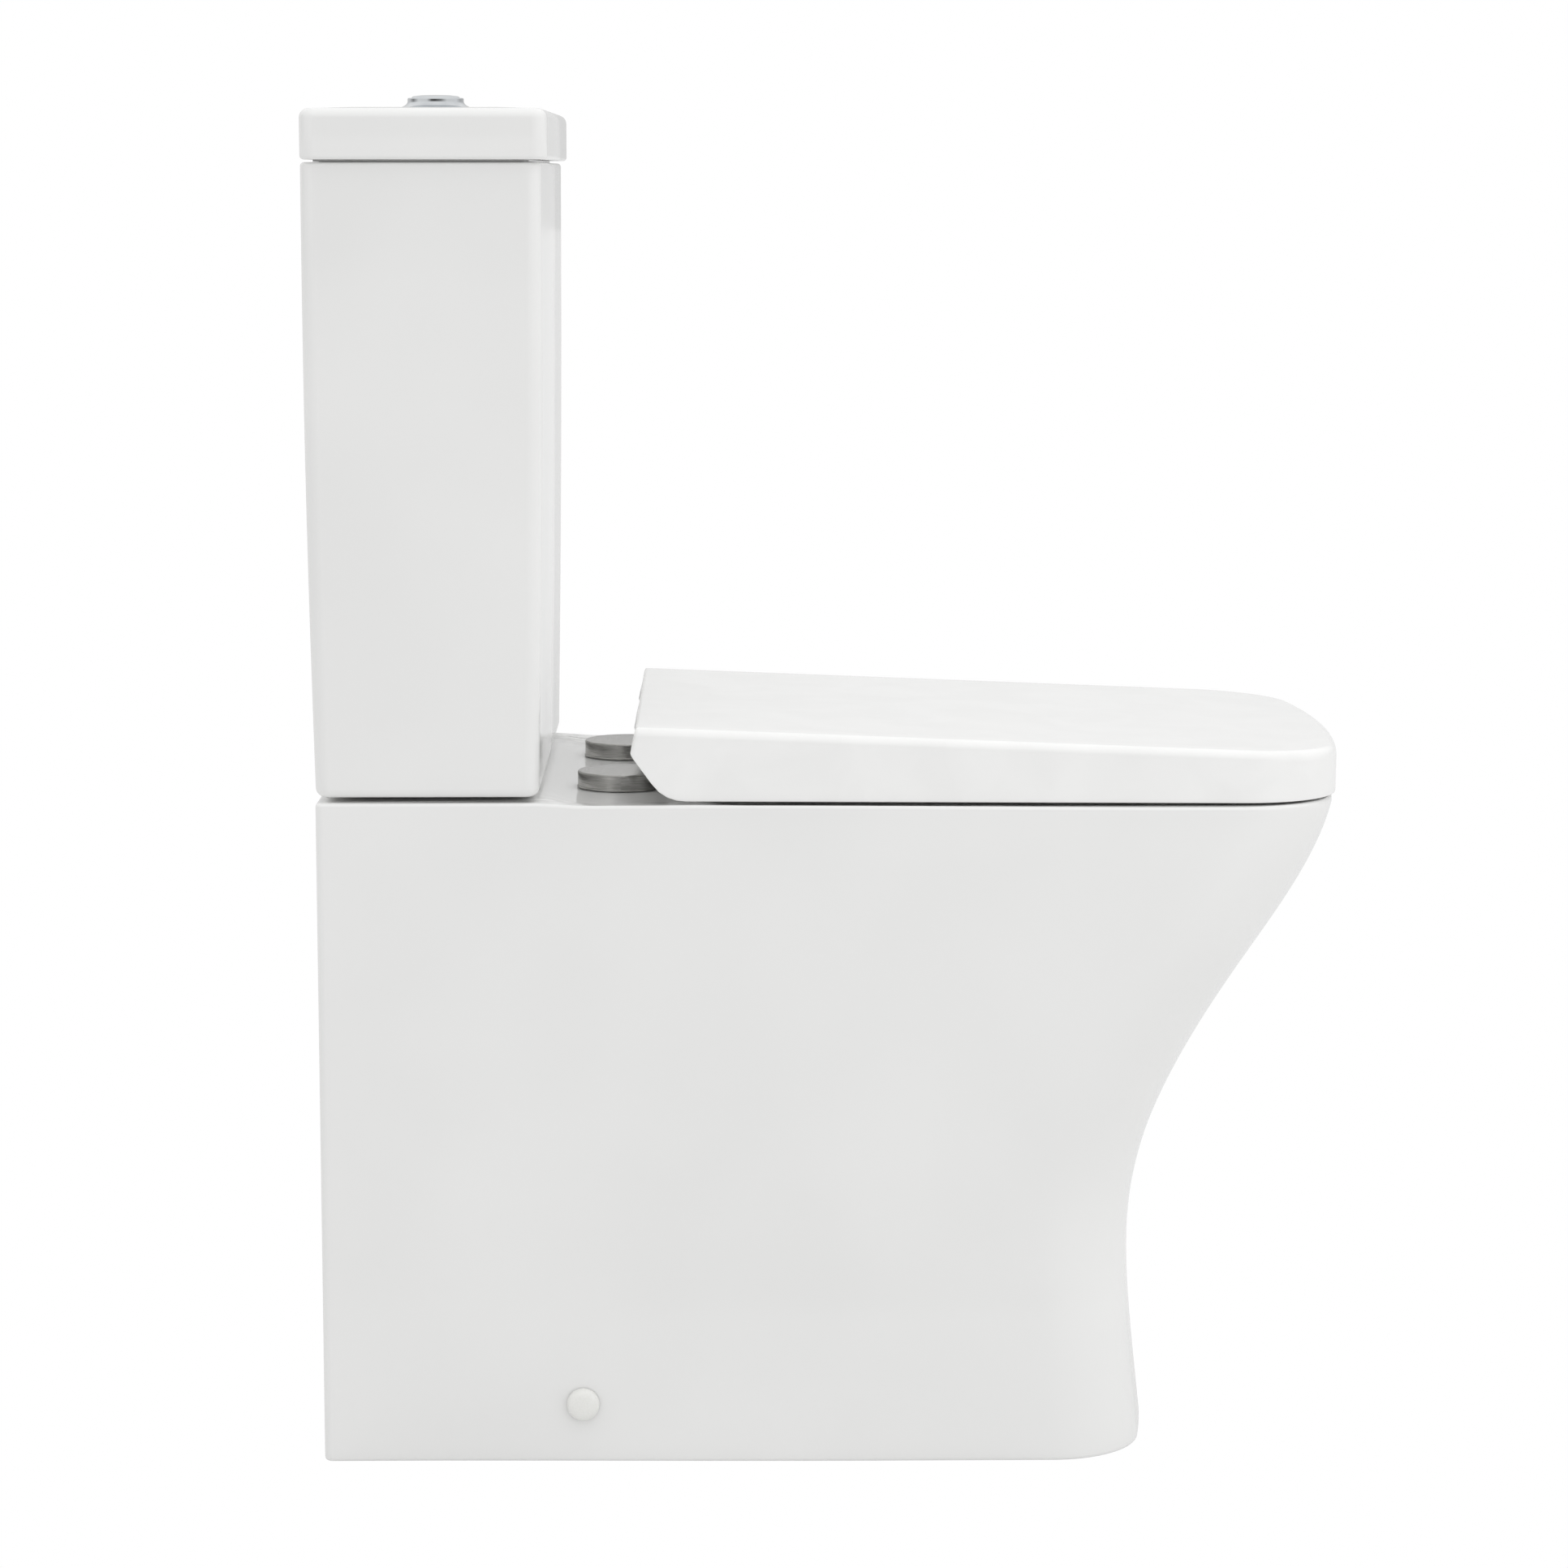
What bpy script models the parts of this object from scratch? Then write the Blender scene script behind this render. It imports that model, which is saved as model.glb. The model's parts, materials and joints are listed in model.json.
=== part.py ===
"""Close coupled toilet, back to wall, with a dual flush cistern and a wrap-over soft close seat.

Metres, +Z up. X runs across the pan, the wall is on the +Y side and the front points to -Y.
The origin is on the floor, under the middle of the whole object.
Lengths named *_D are distances forward from the pan's rear face.
"""
import math

import bmesh
import bpy
from mathutils import Matrix, Vector

# ---- driving sizes -------------------------------------------------------------------------------
GAP = 0.0003                # face to face gap between two pieces that touch
RUN = 0.0004                # radial clearance of a running or bolted fit
SET_IN = 0.0005             # a rib stops this far inside the face it would share
SMALL = 12                  # sides of a small round piece
ROUND = 24                  # sides of a round piece that shows

# cistern footprint, which sets where the pan's platform ends
CISTERN_FOOT_D = 0.138      # front of the cistern at its foot
CISTERN_SPREAD = 0.004      # front and rear both stand out by this much at the top
FLUSH_D = CISTERN_FOOT_D / 2 - 0.001        # the flush way's centre, in pan, cistern and lid

# pan
PAN_HALF = 0.173            # half the pan's width
PAN_TIP_D = 0.6455          # front of the rim
RIM_Z = 0.4150              # flat of the rim and of the hinge deck
SEAT_STEP = 0.0035          # the cistern's platform stands this much above the deck
PLATFORM_D = CISTERN_FOOT_D + 0.002         # front of the platform
WALL = 0.012                # skirt wall
DECK_THICK = 0.0125
BASE_TIP_D = PAN_TIP_D - 0.1200             # front of the skirt on the floor
WAIST_TIP_D = BASE_TIP_D - 0.0095           # front of the skirt where it is slimmest
WAIST_Z = 0.120
BASE_FLARE = 0.004          # each side stands out by this much at the floor
SIDE_DRAW = 0.006           # each side draws in by this much under the rim
RIM_CORNER = 0.070
BASE_CORNER = 0.058
CROWN = 0.860               # radius of the front, seen from above
REAR_EDGE = 0.005

# hinge line, which the seat, its caps and the bowl are placed from
AXIS_D = PLATFORM_D + 0.0770
AXIS_Z = RIM_Z + 0.0340
HINGE_X = 0.0755
HINGE_STUD_D = AXIS_D - 0.0300
HINGE_STUD_R = 0.004
CAP_R = 0.0285
CAP_HEIGHT = 0.0105
CAP_SKIN = 0.0014
PIN_R = 0.004
KNUCKLE_R = 0.0095
KNUCKLE_LENGTH = 0.029
BOLT_BORE = 0.0095          # depth of the pin's bore in a knuckle; the damper fills the rest
POST_HALF = 0.006
DAMPER_R = 0.0065
DAMPER_LENGTH = 0.019

# seat
COVER_TIP_D = PAN_TIP_D + 0.0005
COVER_HALF = PAN_HALF - 0.0050
COVER_REAR_D = AXIS_D - 0.0227
COVER_REAR_Z = RIM_Z + 0.0498               # top of the cover at its rear edge
COVER_LEAN = 0.0032         # the rear face leans forward by this much at the top
COVER_FALL = 0.0385         # the top falls by this much per metre forward
COVER_FOOT_REAR_Z = RIM_Z + 0.0036
COVER_FOOT_FRONT_Z = RIM_Z + 0.0014
COVER_WALL = 0.0042
RING_CLEAR = 0.0025         # between the cover's skirt and the seat ring
RING_Z = RIM_Z + 0.0050
RING_TOP = RING_Z + 0.0180
RING_REAR_D = AXIS_D + 0.0160
RING_HOLE_HALF = 0.106
RING_HOLE_REAR_D = RING_REAR_D + 0.0670
RING_HOLE_FRONT_D = PAN_TIP_D - 0.0635
BUFFER_X = COVER_HALF - 0.0400
RING_BUFFER_D = {"front": PAN_TIP_D - 0.1155, "rear": RING_REAR_D + 0.0420}
COVER_BUFFER_D = PAN_TIP_D - 0.0905

# bowl, trap and flush inlet
BOWL_HALF = 0.128
BOWL_REAR_D = RING_REAR_D + 0.0290
BOWL_FRONT_D = PAN_TIP_D - 0.0395
SUMP_HALF = 0.043
SUMP_REAR_D = BOWL_REAR_D + 0.0200
SUMP_LENGTH = 0.088
SUMP_Z = 0.095
BOWL_WALL = 0.011
TRAP_BORE = 0.037
TRAP_WALL = 0.010
WEIR_Z = SUMP_Z + 0.118     # the trap's axis where the water turns over
OUTLET_Z = 0.180
OUTLET_D = 0.012            # end of the outlet spigot
SOCKET_R = 0.0465
SOCKET_DEPTH = 0.0265
INLET_BORE = 0.025
INLET_WALL = 0.008

# cistern and its lid
CISTERN_Z = RIM_Z + SEAT_STEP + 0.0029      # on the doughnut washer, clear of the platform
CISTERN_TOP = CISTERN_Z + 0.3883
CISTERN_WALL = 0.009
CISTERN_FLOOR = 0.012
TANK_CORNER = 0.018
LID_OVERHANG = 0.0028       # at the sides and the front; the back is flush
LID_REST = 0.0035           # the lid rests on the body this far in from its edge
LID_SHADOW = 0.0014         # open line between body and lid
LID_Z = CISTERN_TOP + 0.0334
LID_TOP_THICK = 0.008
LID_PLUG = 0.007            # the lid's rib reaches this far down into the body
RIB = 0.004
VALVE_HOLE = 0.031

# fasteners
COUPLING_X = 0.080
COUPLING_R = 0.004
BOLT_PLAY = 0.002           # a hole through the ceramic is wider than its bolt by this much, all round
SIDE_FIX_D = 0.163
SIDE_FIX_Z = 0.0374
SIDE_SCREW_R = 0.0025
SCREW_PLAY = 0.0006
BRACKET_HALF = 0.020
BRACKET_PLATE = 0.003
BRACKET_LEG = 0.036

# flush valve and button
VALVE_SHANK_R = 0.029
VALVE_BORE = 0.024
VALVE_NUT_R = 0.0395
VALVE_NUT_THICK = 0.0101
TOWER_TOP = CISTERN_TOP - 0.0897
BUTTON_R = 0.0158
BEZEL_BORE = BUTTON_R + 0.0006
BEZEL_SHANK_R = 0.0195
BEZEL_FLANGE_R = 0.0275
BUTTON_TOP = LID_Z + 0.0097
BUTTON_SPLIT = 0.003        # the full flush half is the larger one
BUTTON_GAP = 0.0004
ROD_R = 0.003
ROD_FOOT_Z = TOWER_TOP + 0.0075

# fill valve
FILL_X = PAN_HALF - 0.0450
FILL_D = FLUSH_D - 0.0180
FILL_SHANK_R = 0.0095
FILL_STEM_R = FILL_SHANK_R + 0.0003
FILL_SHANK_Z = CISTERN_Z - 0.0464
FILL_FLANGE_R = 0.0165
SUPPLY_HOLE_R = 0.022
LEVER_Z = CISTERN_TOP - 0.0657
LEVER_PIVOT_X = FILL_X + 0.012
LEVER_PIVOT_R = 0.0016
LINK_X = FILL_X - 0.021
FLOAT_Z = LEVER_Z - 0.1440
FLOAT_HEIGHT = 0.060
FLOAT_R = 0.026

OVERALL = COVER_TIP_D + CISTERN_SPREAD      # from the cistern's top rear edge to the front of the seat


def forward(d):
    """World y of a point d in front of the pan's rear face."""
    return OVERALL / 2 - CISTERN_SPREAD - d


def at(x, d, z):
    return Vector((x, forward(d), z))


# ---- objects and solids --------------------------------------------------------------------------
for old in list(bpy.data.objects):
    bpy.data.objects.remove(old, do_unlink=True)


def material(name, colour, roughness, metallic=0.0):
    mat = bpy.data.materials.new(name)
    mat.use_nodes = True
    shader = mat.node_tree.nodes["Principled BSDF"]
    shader.inputs["Base Color"].default_value = (*colour, 1.0)
    shader.inputs["Roughness"].default_value = roughness
    shader.inputs["Metallic"].default_value = metallic
    return mat


CERAMIC = material("glazed_ceramic", (0.90, 0.90, 0.89), 0.08)
SEAT_PLASTIC = material("seat_duroplast", (0.90, 0.90, 0.90), 0.22)
STEEL = material("brushed_steel", (0.50, 0.49, 0.47), 0.34, 1.0)
CHROME = material("chrome", (0.82, 0.83, 0.84), 0.06, 1.0)
WHITE_ABS = material("white_abs", (0.85, 0.85, 0.84), 0.35)
GREY_ABS = material("grey_abs", (0.42, 0.44, 0.46), 0.42)
BLUE_ABS = material("blue_abs", (0.10, 0.22, 0.48), 0.40)
RUBBER = material("black_rubber", (0.03, 0.03, 0.03), 0.75)
FOAM = material("foam_rubber", (0.07, 0.07, 0.07), 0.90)
ZINC = material("zinc_steel", (0.62, 0.62, 0.60), 0.38, 1.0)
BUFFER = material("soft_buffer", (0.78, 0.78, 0.77), 0.60)


def add(name, bm, mat):
    """A new object from a bmesh, with its faces pointing out."""
    bmesh.ops.recalc_face_normals(bm, faces=bm.faces)
    mesh = bpy.data.meshes.new(name)
    bm.to_mesh(mesh)
    bm.free()
    mesh.materials.append(mat)
    obj = bpy.data.objects.new(name, mesh)
    bpy.context.scene.collection.objects.link(obj)
    return obj


MANY_CUTS = ("pan", "hollow", "inlet", "seat_cover", "seat_ring")   # EXACT leaves edges open in these


def combine(base, tools, operation):
    """Boolean of base with each tool in turn; the tools are used up."""
    for tool in tools:
        modifier = base.modifiers.new("shape", "BOOLEAN")
        modifier.operation = operation
        modifier.solver = "MANIFOLD" if base.name in MANY_CUTS else "EXACT"
        modifier.object = tool
        bpy.context.view_layer.update()
        result = bpy.data.meshes.new_from_object(base.evaluated_get(bpy.context.evaluated_depsgraph_get()))
        base.modifiers.clear()
        base.data = result
        bpy.data.objects.remove(tool, do_unlink=True)
    return base


def cut(base, *tools):
    return combine(base, tools, "DIFFERENCE")


def join(base, *tools):
    return combine(base, tools, "UNION")


def keep(base, *tools):
    return combine(base, tools, "INTERSECT")


def loft(rings):
    """A closed skin through rings of equal length, capped at both ends."""
    bm = bmesh.new()
    rows = [[bm.verts.new(p) for p in ring] for ring in rings]
    count = len(rows[0])
    for low, high in zip(rows, rows[1:]):
        for i in range(count):
            j = (i + 1) % count
            bm.faces.new((low[i], low[j], high[j], high[i]))
    bm.faces.new(rows[0])
    bm.faces.new(rows[-1])
    return bm


def turned(profile, sides, centre, axis="Z"):
    """Revolve (radius, height) pairs; a pair on the axis closes to one point, otherwise it is a ring."""
    bm = bmesh.new()
    rows = []
    for radius, height in profile:
        if radius < 1e-6:
            rows.append([bm.verts.new((0, 0, height))] * sides)
            continue
        rows.append([
            bm.verts.new((radius * math.cos(a), radius * math.sin(a), height))
            for a in (2 * math.pi * (i + 0.5) / sides for i in range(sides))
        ])
    closed = rows[0][0] is not rows[0][1] or rows[-1][0] is not rows[-1][1]
    pairs = list(zip(rows, rows[1:]))
    if closed:
        pairs.append((rows[-1], rows[0]))
    for low, high in pairs:
        for i in range(sides):
            j = (i + 1) % sides
            corners = []
            for v in (low[i], low[j], high[j], high[i]):
                if v not in corners:
                    corners.append(v)
            if len(corners) > 2:
                bm.faces.new(corners)
    if axis == "X":
        bm.transform(Matrix.Rotation(math.pi / 2, 4, "Y"))
    elif axis == "Y":
        bm.transform(Matrix.Rotation(-math.pi / 2, 4, "X"))
    bm.transform(Matrix.Translation(centre))
    return bm


def rod(radius, low, high, sides, centre, axis="Z"):
    return turned([(0, low), (radius, low), (radius, high), (0, high)], sides, centre, axis)


def tube(inner, outer, low, high, sides, centre, axis="Z"):
    return turned([(inner, low), (outer, low), (outer, high), (inner, high)], sides, centre, axis)


def block(low, high):
    """A box between two corners given as (x, d, z)."""
    bm = bmesh.new()
    bmesh.ops.create_cube(bm, size=1)
    a, b = at(*low), at(*high)
    size = Vector(abs(b[i] - a[i]) for i in range(3))
    bm.transform(Matrix.Translation((a + b) / 2) @ Matrix.Diagonal((*size, 1)))
    return bm


def side_prism(points, x_low, x_high):
    """A side profile of (d, z) pairs carried across from x_low to x_high."""
    return loft([[at(x, d, z) for d, z in points] for x in (x_low, x_high)])


def arc(centre, radius, start, end, steps):
    """Points on an arc, angles in degrees, both ends included."""
    return [
        (centre[0] + radius * math.cos(math.radians(a)), centre[1] + radius * math.sin(math.radians(a)))
        for a in (start + (end - start) * i / steps for i in range(steps + 1))
    ]


def hermite(knots, t):
    """Smooth curve through (t, value, slope) knots."""
    for (t0, v0, m0), (t1, v1, m1) in zip(knots, knots[1:]):
        if t <= t1:
            break
    h = t1 - t0
    s = min(max((t - t0) / h, 0.0), 1.0)
    return (
        v0 * (2 * s**3 - 3 * s**2 + 1) + m0 * h * (s**3 - 2 * s**2 + s)
        + v1 * (3 * s**2 - 2 * s**3) + m1 * h * (s**3 - s**2)
    )


def smooth(t):
    t = min(max(t, 0.0), 1.0)
    return t * t * (3 - 2 * t)


def swept(points, radius, sides, fine=2):
    """A round bar along a smooth route of (d, z) points in the plane x = 0."""
    route = []
    for i in range(len(points) - 1):
        a, b = points[max(i - 1, 0)], points[i]
        c, e = points[i + 1], points[min(i + 2, len(points) - 1)]
        for s in (k / fine for k in range(fine)):
            route.append(tuple(
                0.5 * (2 * b[n] + (c[n] - a[n]) * s + (2 * a[n] - 5 * b[n] + 4 * c[n] - e[n]) * s * s
                       + (3 * b[n] - a[n] - 3 * c[n] + e[n]) * s**3)
                for n in (0, 1)
            ))
    route.append(points[-1])
    rings = []
    for i, (d, z) in enumerate(route):
        d0, z0 = route[max(i - 1, 0)]
        d1, z1 = route[min(i + 1, len(route) - 1)]
        if i == len(route) - 1:         # the end is cut square to the last run
            (d0, z0), (d1, z1) = points[-2:]
        along = Vector((d1 - d0, z1 - z0)).normalized()
        across = Vector((-along.y, along.x))
        rings.append([
            at(radius * math.cos(a), d + across.x * radius * math.sin(a), z + across.y * radius * math.sin(a))
            for a in (2 * math.pi * (k + 0.5) / sides for k in range(sides))
        ])
    return loft(rings)


def outline(half, rear, tip, rear_r, corner_r, crown_r=None, rear_steps=1, side_steps=4, corner_steps=5):
    """Plan outline as (x, d) pairs: straight sides, round corners and a crowned front."""
    if crown_r is None:
        centre_d = tip - corner_r
        end = 90.0
    else:
        centre_d = tip - crown_r + math.sqrt((crown_r - corner_r) ** 2 - (half - corner_r) ** 2)
        end = math.degrees(math.atan2(centre_d - (tip - crown_r), half - corner_r))
    right = arc((half - rear_r, rear + rear_r), rear_r, -90, 0, rear_steps)
    low, high = rear + rear_r, centre_d
    right += [(half, low + (high - low) * i / side_steps) for i in range(1, side_steps)]
    right += arc((half - corner_r, centre_d), corner_r, 0, end, corner_steps)
    middle = []
    if crown_r is not None:
        right += arc((0, tip - crown_r), crown_r, end, 90, 3)[1:-1]
        middle = [(0.0, tip)]
    return right + middle + [(-x, d) for x, d in reversed(right)]


def rounded(half, rear, front, radius, z, inset=0.0, steps=2):
    """Rounded rectangle at height z, drawn in by inset."""
    r = max(radius - inset, 0.0008)
    points = outline(half - inset, rear + inset, front - inset, r, r, rear_steps=steps, side_steps=1,
                     corner_steps=steps)
    return [at(x, d, z) for x, d in points]


# ---- pan -----------------------------------------------------------------------------------------
TIP_CURVE = [                # front of the skirt and rim: height, distance forward, slope
    (0.0, BASE_TIP_D, -0.10),
    (WAIST_Z, WAIST_TIP_D, 0.0),
    (WAIST_Z + 0.095, WAIST_TIP_D + 0.0183, 0.44),
    (RIM_Z - 0.095, WAIST_TIP_D + 0.0832, 0.675),
    (RIM_Z - 0.004, PAN_TIP_D, 0.22),
]
SIDE_CURVE = [               # how far each side stands out from the rim's width
    (0.0, BASE_FLARE, -0.035),
    (RIM_Z - 0.115, -SIDE_DRAW, 0.0),
    (RIM_Z - 0.008, -0.0005, 0.05),
]


def side_x(d, z):
    """The outer face of the pan's side at distance d and height z."""
    return PAN_HALF + hermite(SIDE_CURVE, z) * smooth((d - 0.04) / 0.30)


def pan_ring(z, inset=0.0, level=None, rear=0.0):
    """The pan's outline at a height; level is the height at which the ring is drawn."""
    corner = BASE_CORNER + (RIM_CORNER - BASE_CORNER) * smooth(z / RIM_Z)
    tip = hermite(TIP_CURVE, z) - inset
    points = outline(PAN_HALF - inset, rear, tip, max(REAR_EDGE - inset, 0.002), corner - inset * 0.6, CROWN)
    ring = []
    for x, d in points:
        share = min(abs(x) / (PAN_HALF - inset), 1.0)
        x += math.copysign((side_x(d, z) - PAN_HALF) * share, x)
        ring.append(at(x, d, z if level is None else level))
    return ring


def levels(top, steps=6):
    """Evenly spaced heights from the waist up to top."""
    return [WAIST_Z + (top - WAIST_Z) * i / steps for i in range(steps + 1)]


def build_pan():
    heights = [0.0, 0.002, SIDE_FIX_Z, 0.08] + levels(RIM_Z - 0.012)
    insets = [0.002] + [0.0] * (len(heights) - 1)
    rings = [pan_ring(z, i, rear=i) for z, i in zip(heights, insets)]
    for drop, inset in ((0.005, 0.003), (0.001, 0.008), (0.0, 0.013)):
        rings.append(pan_ring(RIM_Z - drop, inset, rear=min(inset, 0.004)))
    pan = add("pan", loft(rings), CERAMIC)
    platform = [rounded(PAN_HALF, 0.0, PLATFORM_D + grow, REAR_EDGE, z, inset=inset)
                for z, inset, grow in ((RIM_Z - 0.012, 0.001, 0.02),
                                       (RIM_Z + SEAT_STEP - 0.003, 0.001, 0.006),
                                       (RIM_Z + SEAT_STEP, 0.004, 0.0))]
    join(pan, add("platform", loft(platform), CERAMIC))

    # the space under the skirt, open to the floor and to the wall, around bowl, trap and inlet
    ceiling = RIM_Z - DECK_THICK
    rings = [pan_ring(max(z, 0.0), WALL, level=z, rear=-0.02) for z in [-0.01] + levels(ceiling)]
    hollow = add("hollow", loft(rings), CERAMIC)

    def bowl(extra):
        rings = []
        for i in range(8):
            t = i / 7
            ease = smooth(t * 0.96 + 0.04) if t > 0 else 0.0
            z = RIM_Z + 0.012 - (RIM_Z + 0.012 - SUMP_Z + extra) * t
            half = BOWL_HALF + (SUMP_HALF - BOWL_HALF) * ease + extra
            rear = BOWL_REAR_D + (SUMP_REAR_D - BOWL_REAR_D) * ease - extra
            front = BOWL_FRONT_D + (SUMP_REAR_D + SUMP_LENGTH - BOWL_FRONT_D) * smooth(t ** 0.9) + extra
            radius = min(half * 0.97, (front - rear) * 0.49)
            points = outline(half, rear, front, radius * 0.9, radius, rear_steps=4, side_steps=1,
                             corner_steps=4)
            rings.append([at(x, d, z) for x, d in points])
        return loft(rings)

    low = SUMP_Z - 0.020
    route = [(1.20, SUMP_Z + 0.055), (1.12, low + 0.030), (1.01, low + 0.006), (0.88, low),
             (0.75, low + 0.011), (0.65, low + 0.047), (0.58, low + 0.091), (0.50, WEIR_Z - 0.012),
             (0.385, WEIR_Z), (0.275, WEIR_Z - 0.008), (0.18, OUTLET_Z + 0.009), (0.09, OUTLET_Z),
             (0.0, OUTLET_Z)]
    trap = [(OUTLET_D + (SUMP_REAR_D - OUTLET_D) * share, z) for share, z in route]
    inlet_z = RIM_Z - 0.050

    def inlet(radius, top, end):
        """The flush way: straight down from the socket, then forward into the back of the bowl."""
        drop = rod(radius, inlet_z - radius, top, 18, at(0, FLUSH_D, 0))
        run = rod(radius * 0.985, -(end - FLUSH_D), 0.0, 18, at(0, FLUSH_D, inlet_z), "Y")
        return join(add("inlet", drop, CERAMIC), add("run", run, CERAMIC))

    boss = rod(SOCKET_R + 0.009, RIM_Z - 0.036, RIM_Z - 0.005, ROUND, at(0, FLUSH_D, 0))
    cut(hollow, add("boss", boss, CERAMIC), add("bowl_wall", bowl(BOWL_WALL), CERAMIC),
        inlet(INLET_BORE + INLET_WALL, RIM_Z - 0.010, BOWL_REAR_D + 0.002),
        add("trap_wall", swept(trap, TRAP_BORE + TRAP_WALL, 14), CERAMIC))
    cut(pan, hollow)

    platform_z = RIM_Z + SEAT_STEP
    socket = rod(SOCKET_R, platform_z - SOCKET_DEPTH, platform_z + 0.01, ROUND, at(0, FLUSH_D, 0))
    cut(pan, add("bowl", bowl(0.0), CERAMIC),
        add("trap", swept(trap[:-1] + [(OUTLET_D - 0.03, OUTLET_Z)], TRAP_BORE, 14), CERAMIC),
        inlet(INLET_BORE, RIM_Z - 0.004, BOWL_REAR_D + 0.025), add("socket", socket, CERAMIC))
    for side in (-1, 1):
        low, high = RIM_Z - 0.05, RIM_Z + 0.02
        coupling = rod(COUPLING_R + BOLT_PLAY, low, high, SMALL, at(side * COUPLING_X, FLUSH_D, 0))
        stud = rod(HINGE_STUD_R + BOLT_PLAY, low, high, SMALL, at(side * HINGE_X, HINGE_STUD_D, 0))
        screw = rod(SIDE_SCREW_R + 0.001, PAN_HALF - 0.043, PAN_HALF + 0.027, SMALL,
                    at(0, SIDE_FIX_D, SIDE_FIX_Z), "X")
        if side < 0:
            bmesh.ops.scale(screw, vec=(-1, 1, 1), verts=screw.verts)
        cut(pan, add("coupling_hole", coupling, CERAMIC), add("stud_hole", stud, CERAMIC),
            add("screw_hole", screw, CERAMIC))
    supply = rod(SUPPLY_HOLE_R, RIM_Z - 0.05, RIM_Z + 0.02, SMALL, at(FILL_X, FILL_D, 0))
    cut(pan, add("supply_hole", supply, CERAMIC))
    return pan


# ---- cistern -------------------------------------------------------------------------------------
def cistern_faces(z):
    """Rear and front of the cistern at height z."""
    spread = CISTERN_SPREAD * (z - CISTERN_Z) / (CISTERN_TOP - CISTERN_Z)
    return -spread, CISTERN_FOOT_D + spread


def build_cistern():
    rings = []
    for z, inset in ((CISTERN_Z, 0.005), (CISTERN_Z + 0.0015, 0.0015), (CISTERN_Z + 0.005, 0.0),
                     (CISTERN_TOP - 0.002, 0.0), (CISTERN_TOP, 0.002)):
        rear, front = cistern_faces(z)
        rings.append(rounded(PAN_HALF, rear, front, 0.006, z, inset))
    body = add("cistern", loft(rings), CERAMIC)
    inside = []
    for z in (CISTERN_Z + CISTERN_FLOOR, CISTERN_TOP + 0.01):
        rear, front = cistern_faces(z)
        inside.append(rounded(PAN_HALF, rear, front, TANK_CORNER, z, CISTERN_WALL))
    cut(body, add("tank", loft(inside), CERAMIC))
    low, high = CISTERN_Z - 0.01, CISTERN_Z + CISTERN_FLOOR + 0.01
    holes = [rod(VALVE_HOLE, low, high, ROUND, at(0, FLUSH_D, 0)),
             rod(FILL_SHANK_R + 0.0015, low, high, SMALL, at(FILL_X, FILL_D, 0))]
    for x in (-COUPLING_X, COUPLING_X):
        holes.append(rod(COUPLING_R + BOLT_PLAY, low, high, SMALL, at(x, FLUSH_D, 0)))
    for hole in holes:
        cut(body, add("hole", hole, CERAMIC))
    return body


def build_lid():
    low = CISTERN_TOP + LID_SHADOW
    rear, front = cistern_faces(CISTERN_TOP)
    ledge = [rounded(PAN_HALF, rear, front, 0.012, z, LID_REST) for z in (CISTERN_TOP + GAP, low + 0.004)]
    half, front = PAN_HALF + LID_OVERHANG, front + LID_OVERHANG
    rings = [rounded(half, rear, front, 0.010, z, inset, steps=3)
             for z, inset in ((low, 0.003), (low + 0.003, 0.0), (LID_Z - 0.007, 0.0), (LID_Z - 0.0035, 0.001),
                              (LID_Z - 0.001, 0.0035), (LID_Z, 0.007))]
    lid = add("cistern_lid", loft(rings), CERAMIC)
    plug_inset = CISTERN_WALL + 0.0015
    inner_rear, inner_front = cistern_faces(CISTERN_TOP - LID_PLUG)
    plug = [rounded(PAN_HALF, inner_rear, inner_front, TANK_CORNER, z, plug_inset)
            for z in (CISTERN_TOP - LID_PLUG, low + 0.006)]
    join(lid, add("ledge", loft(ledge), CERAMIC), add("plug", loft(plug), CERAMIC))
    space = [rounded(PAN_HALF, inner_rear, inner_front, TANK_CORNER, z, plug_inset + RIB)
             for z in (CISTERN_TOP - LID_PLUG - 0.01, LID_Z - LID_TOP_THICK)]
    hole = rod(BEZEL_SHANK_R + 0.001, LID_Z - 0.03, LID_Z + 0.01, ROUND, at(0, FLUSH_D, 0))
    return cut(lid, add("space", loft(space), CERAMIC), add("hole", hole, CERAMIC))


# ---- seat ----------------------------------------------------------------------------------------
def cover_top(d):
    return COVER_REAR_Z - COVER_FALL * (d - COVER_REAR_D)


def cover_foot(d):
    share = (d - COVER_REAR_D) / (COVER_TIP_D - COVER_REAR_D)
    return COVER_FOOT_REAR_Z + (COVER_FOOT_FRONT_Z - COVER_FOOT_REAR_Z) * share


def cover_ring(inset, height, from_top, rear_inset=None, steps=6):
    """Outline of the cover, measured down from its sloping top or up from its foot."""
    back = COVER_REAR_D + (inset if rear_inset is None else rear_inset)
    points = outline(COVER_HALF - inset, back, COVER_TIP_D - inset, 0.003, RIM_CORNER - inset, CROWN - inset,
                     corner_steps=steps)
    return [at(x, d, cover_top(d) - height if from_top else cover_foot(d) + height) for x, d in points]


REAR_CHAMFER = [(COVER_REAR_D, COVER_REAR_Z - 0.0173), (COVER_REAR_D + 0.0137, COVER_REAR_Z - 0.0361)]


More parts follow.
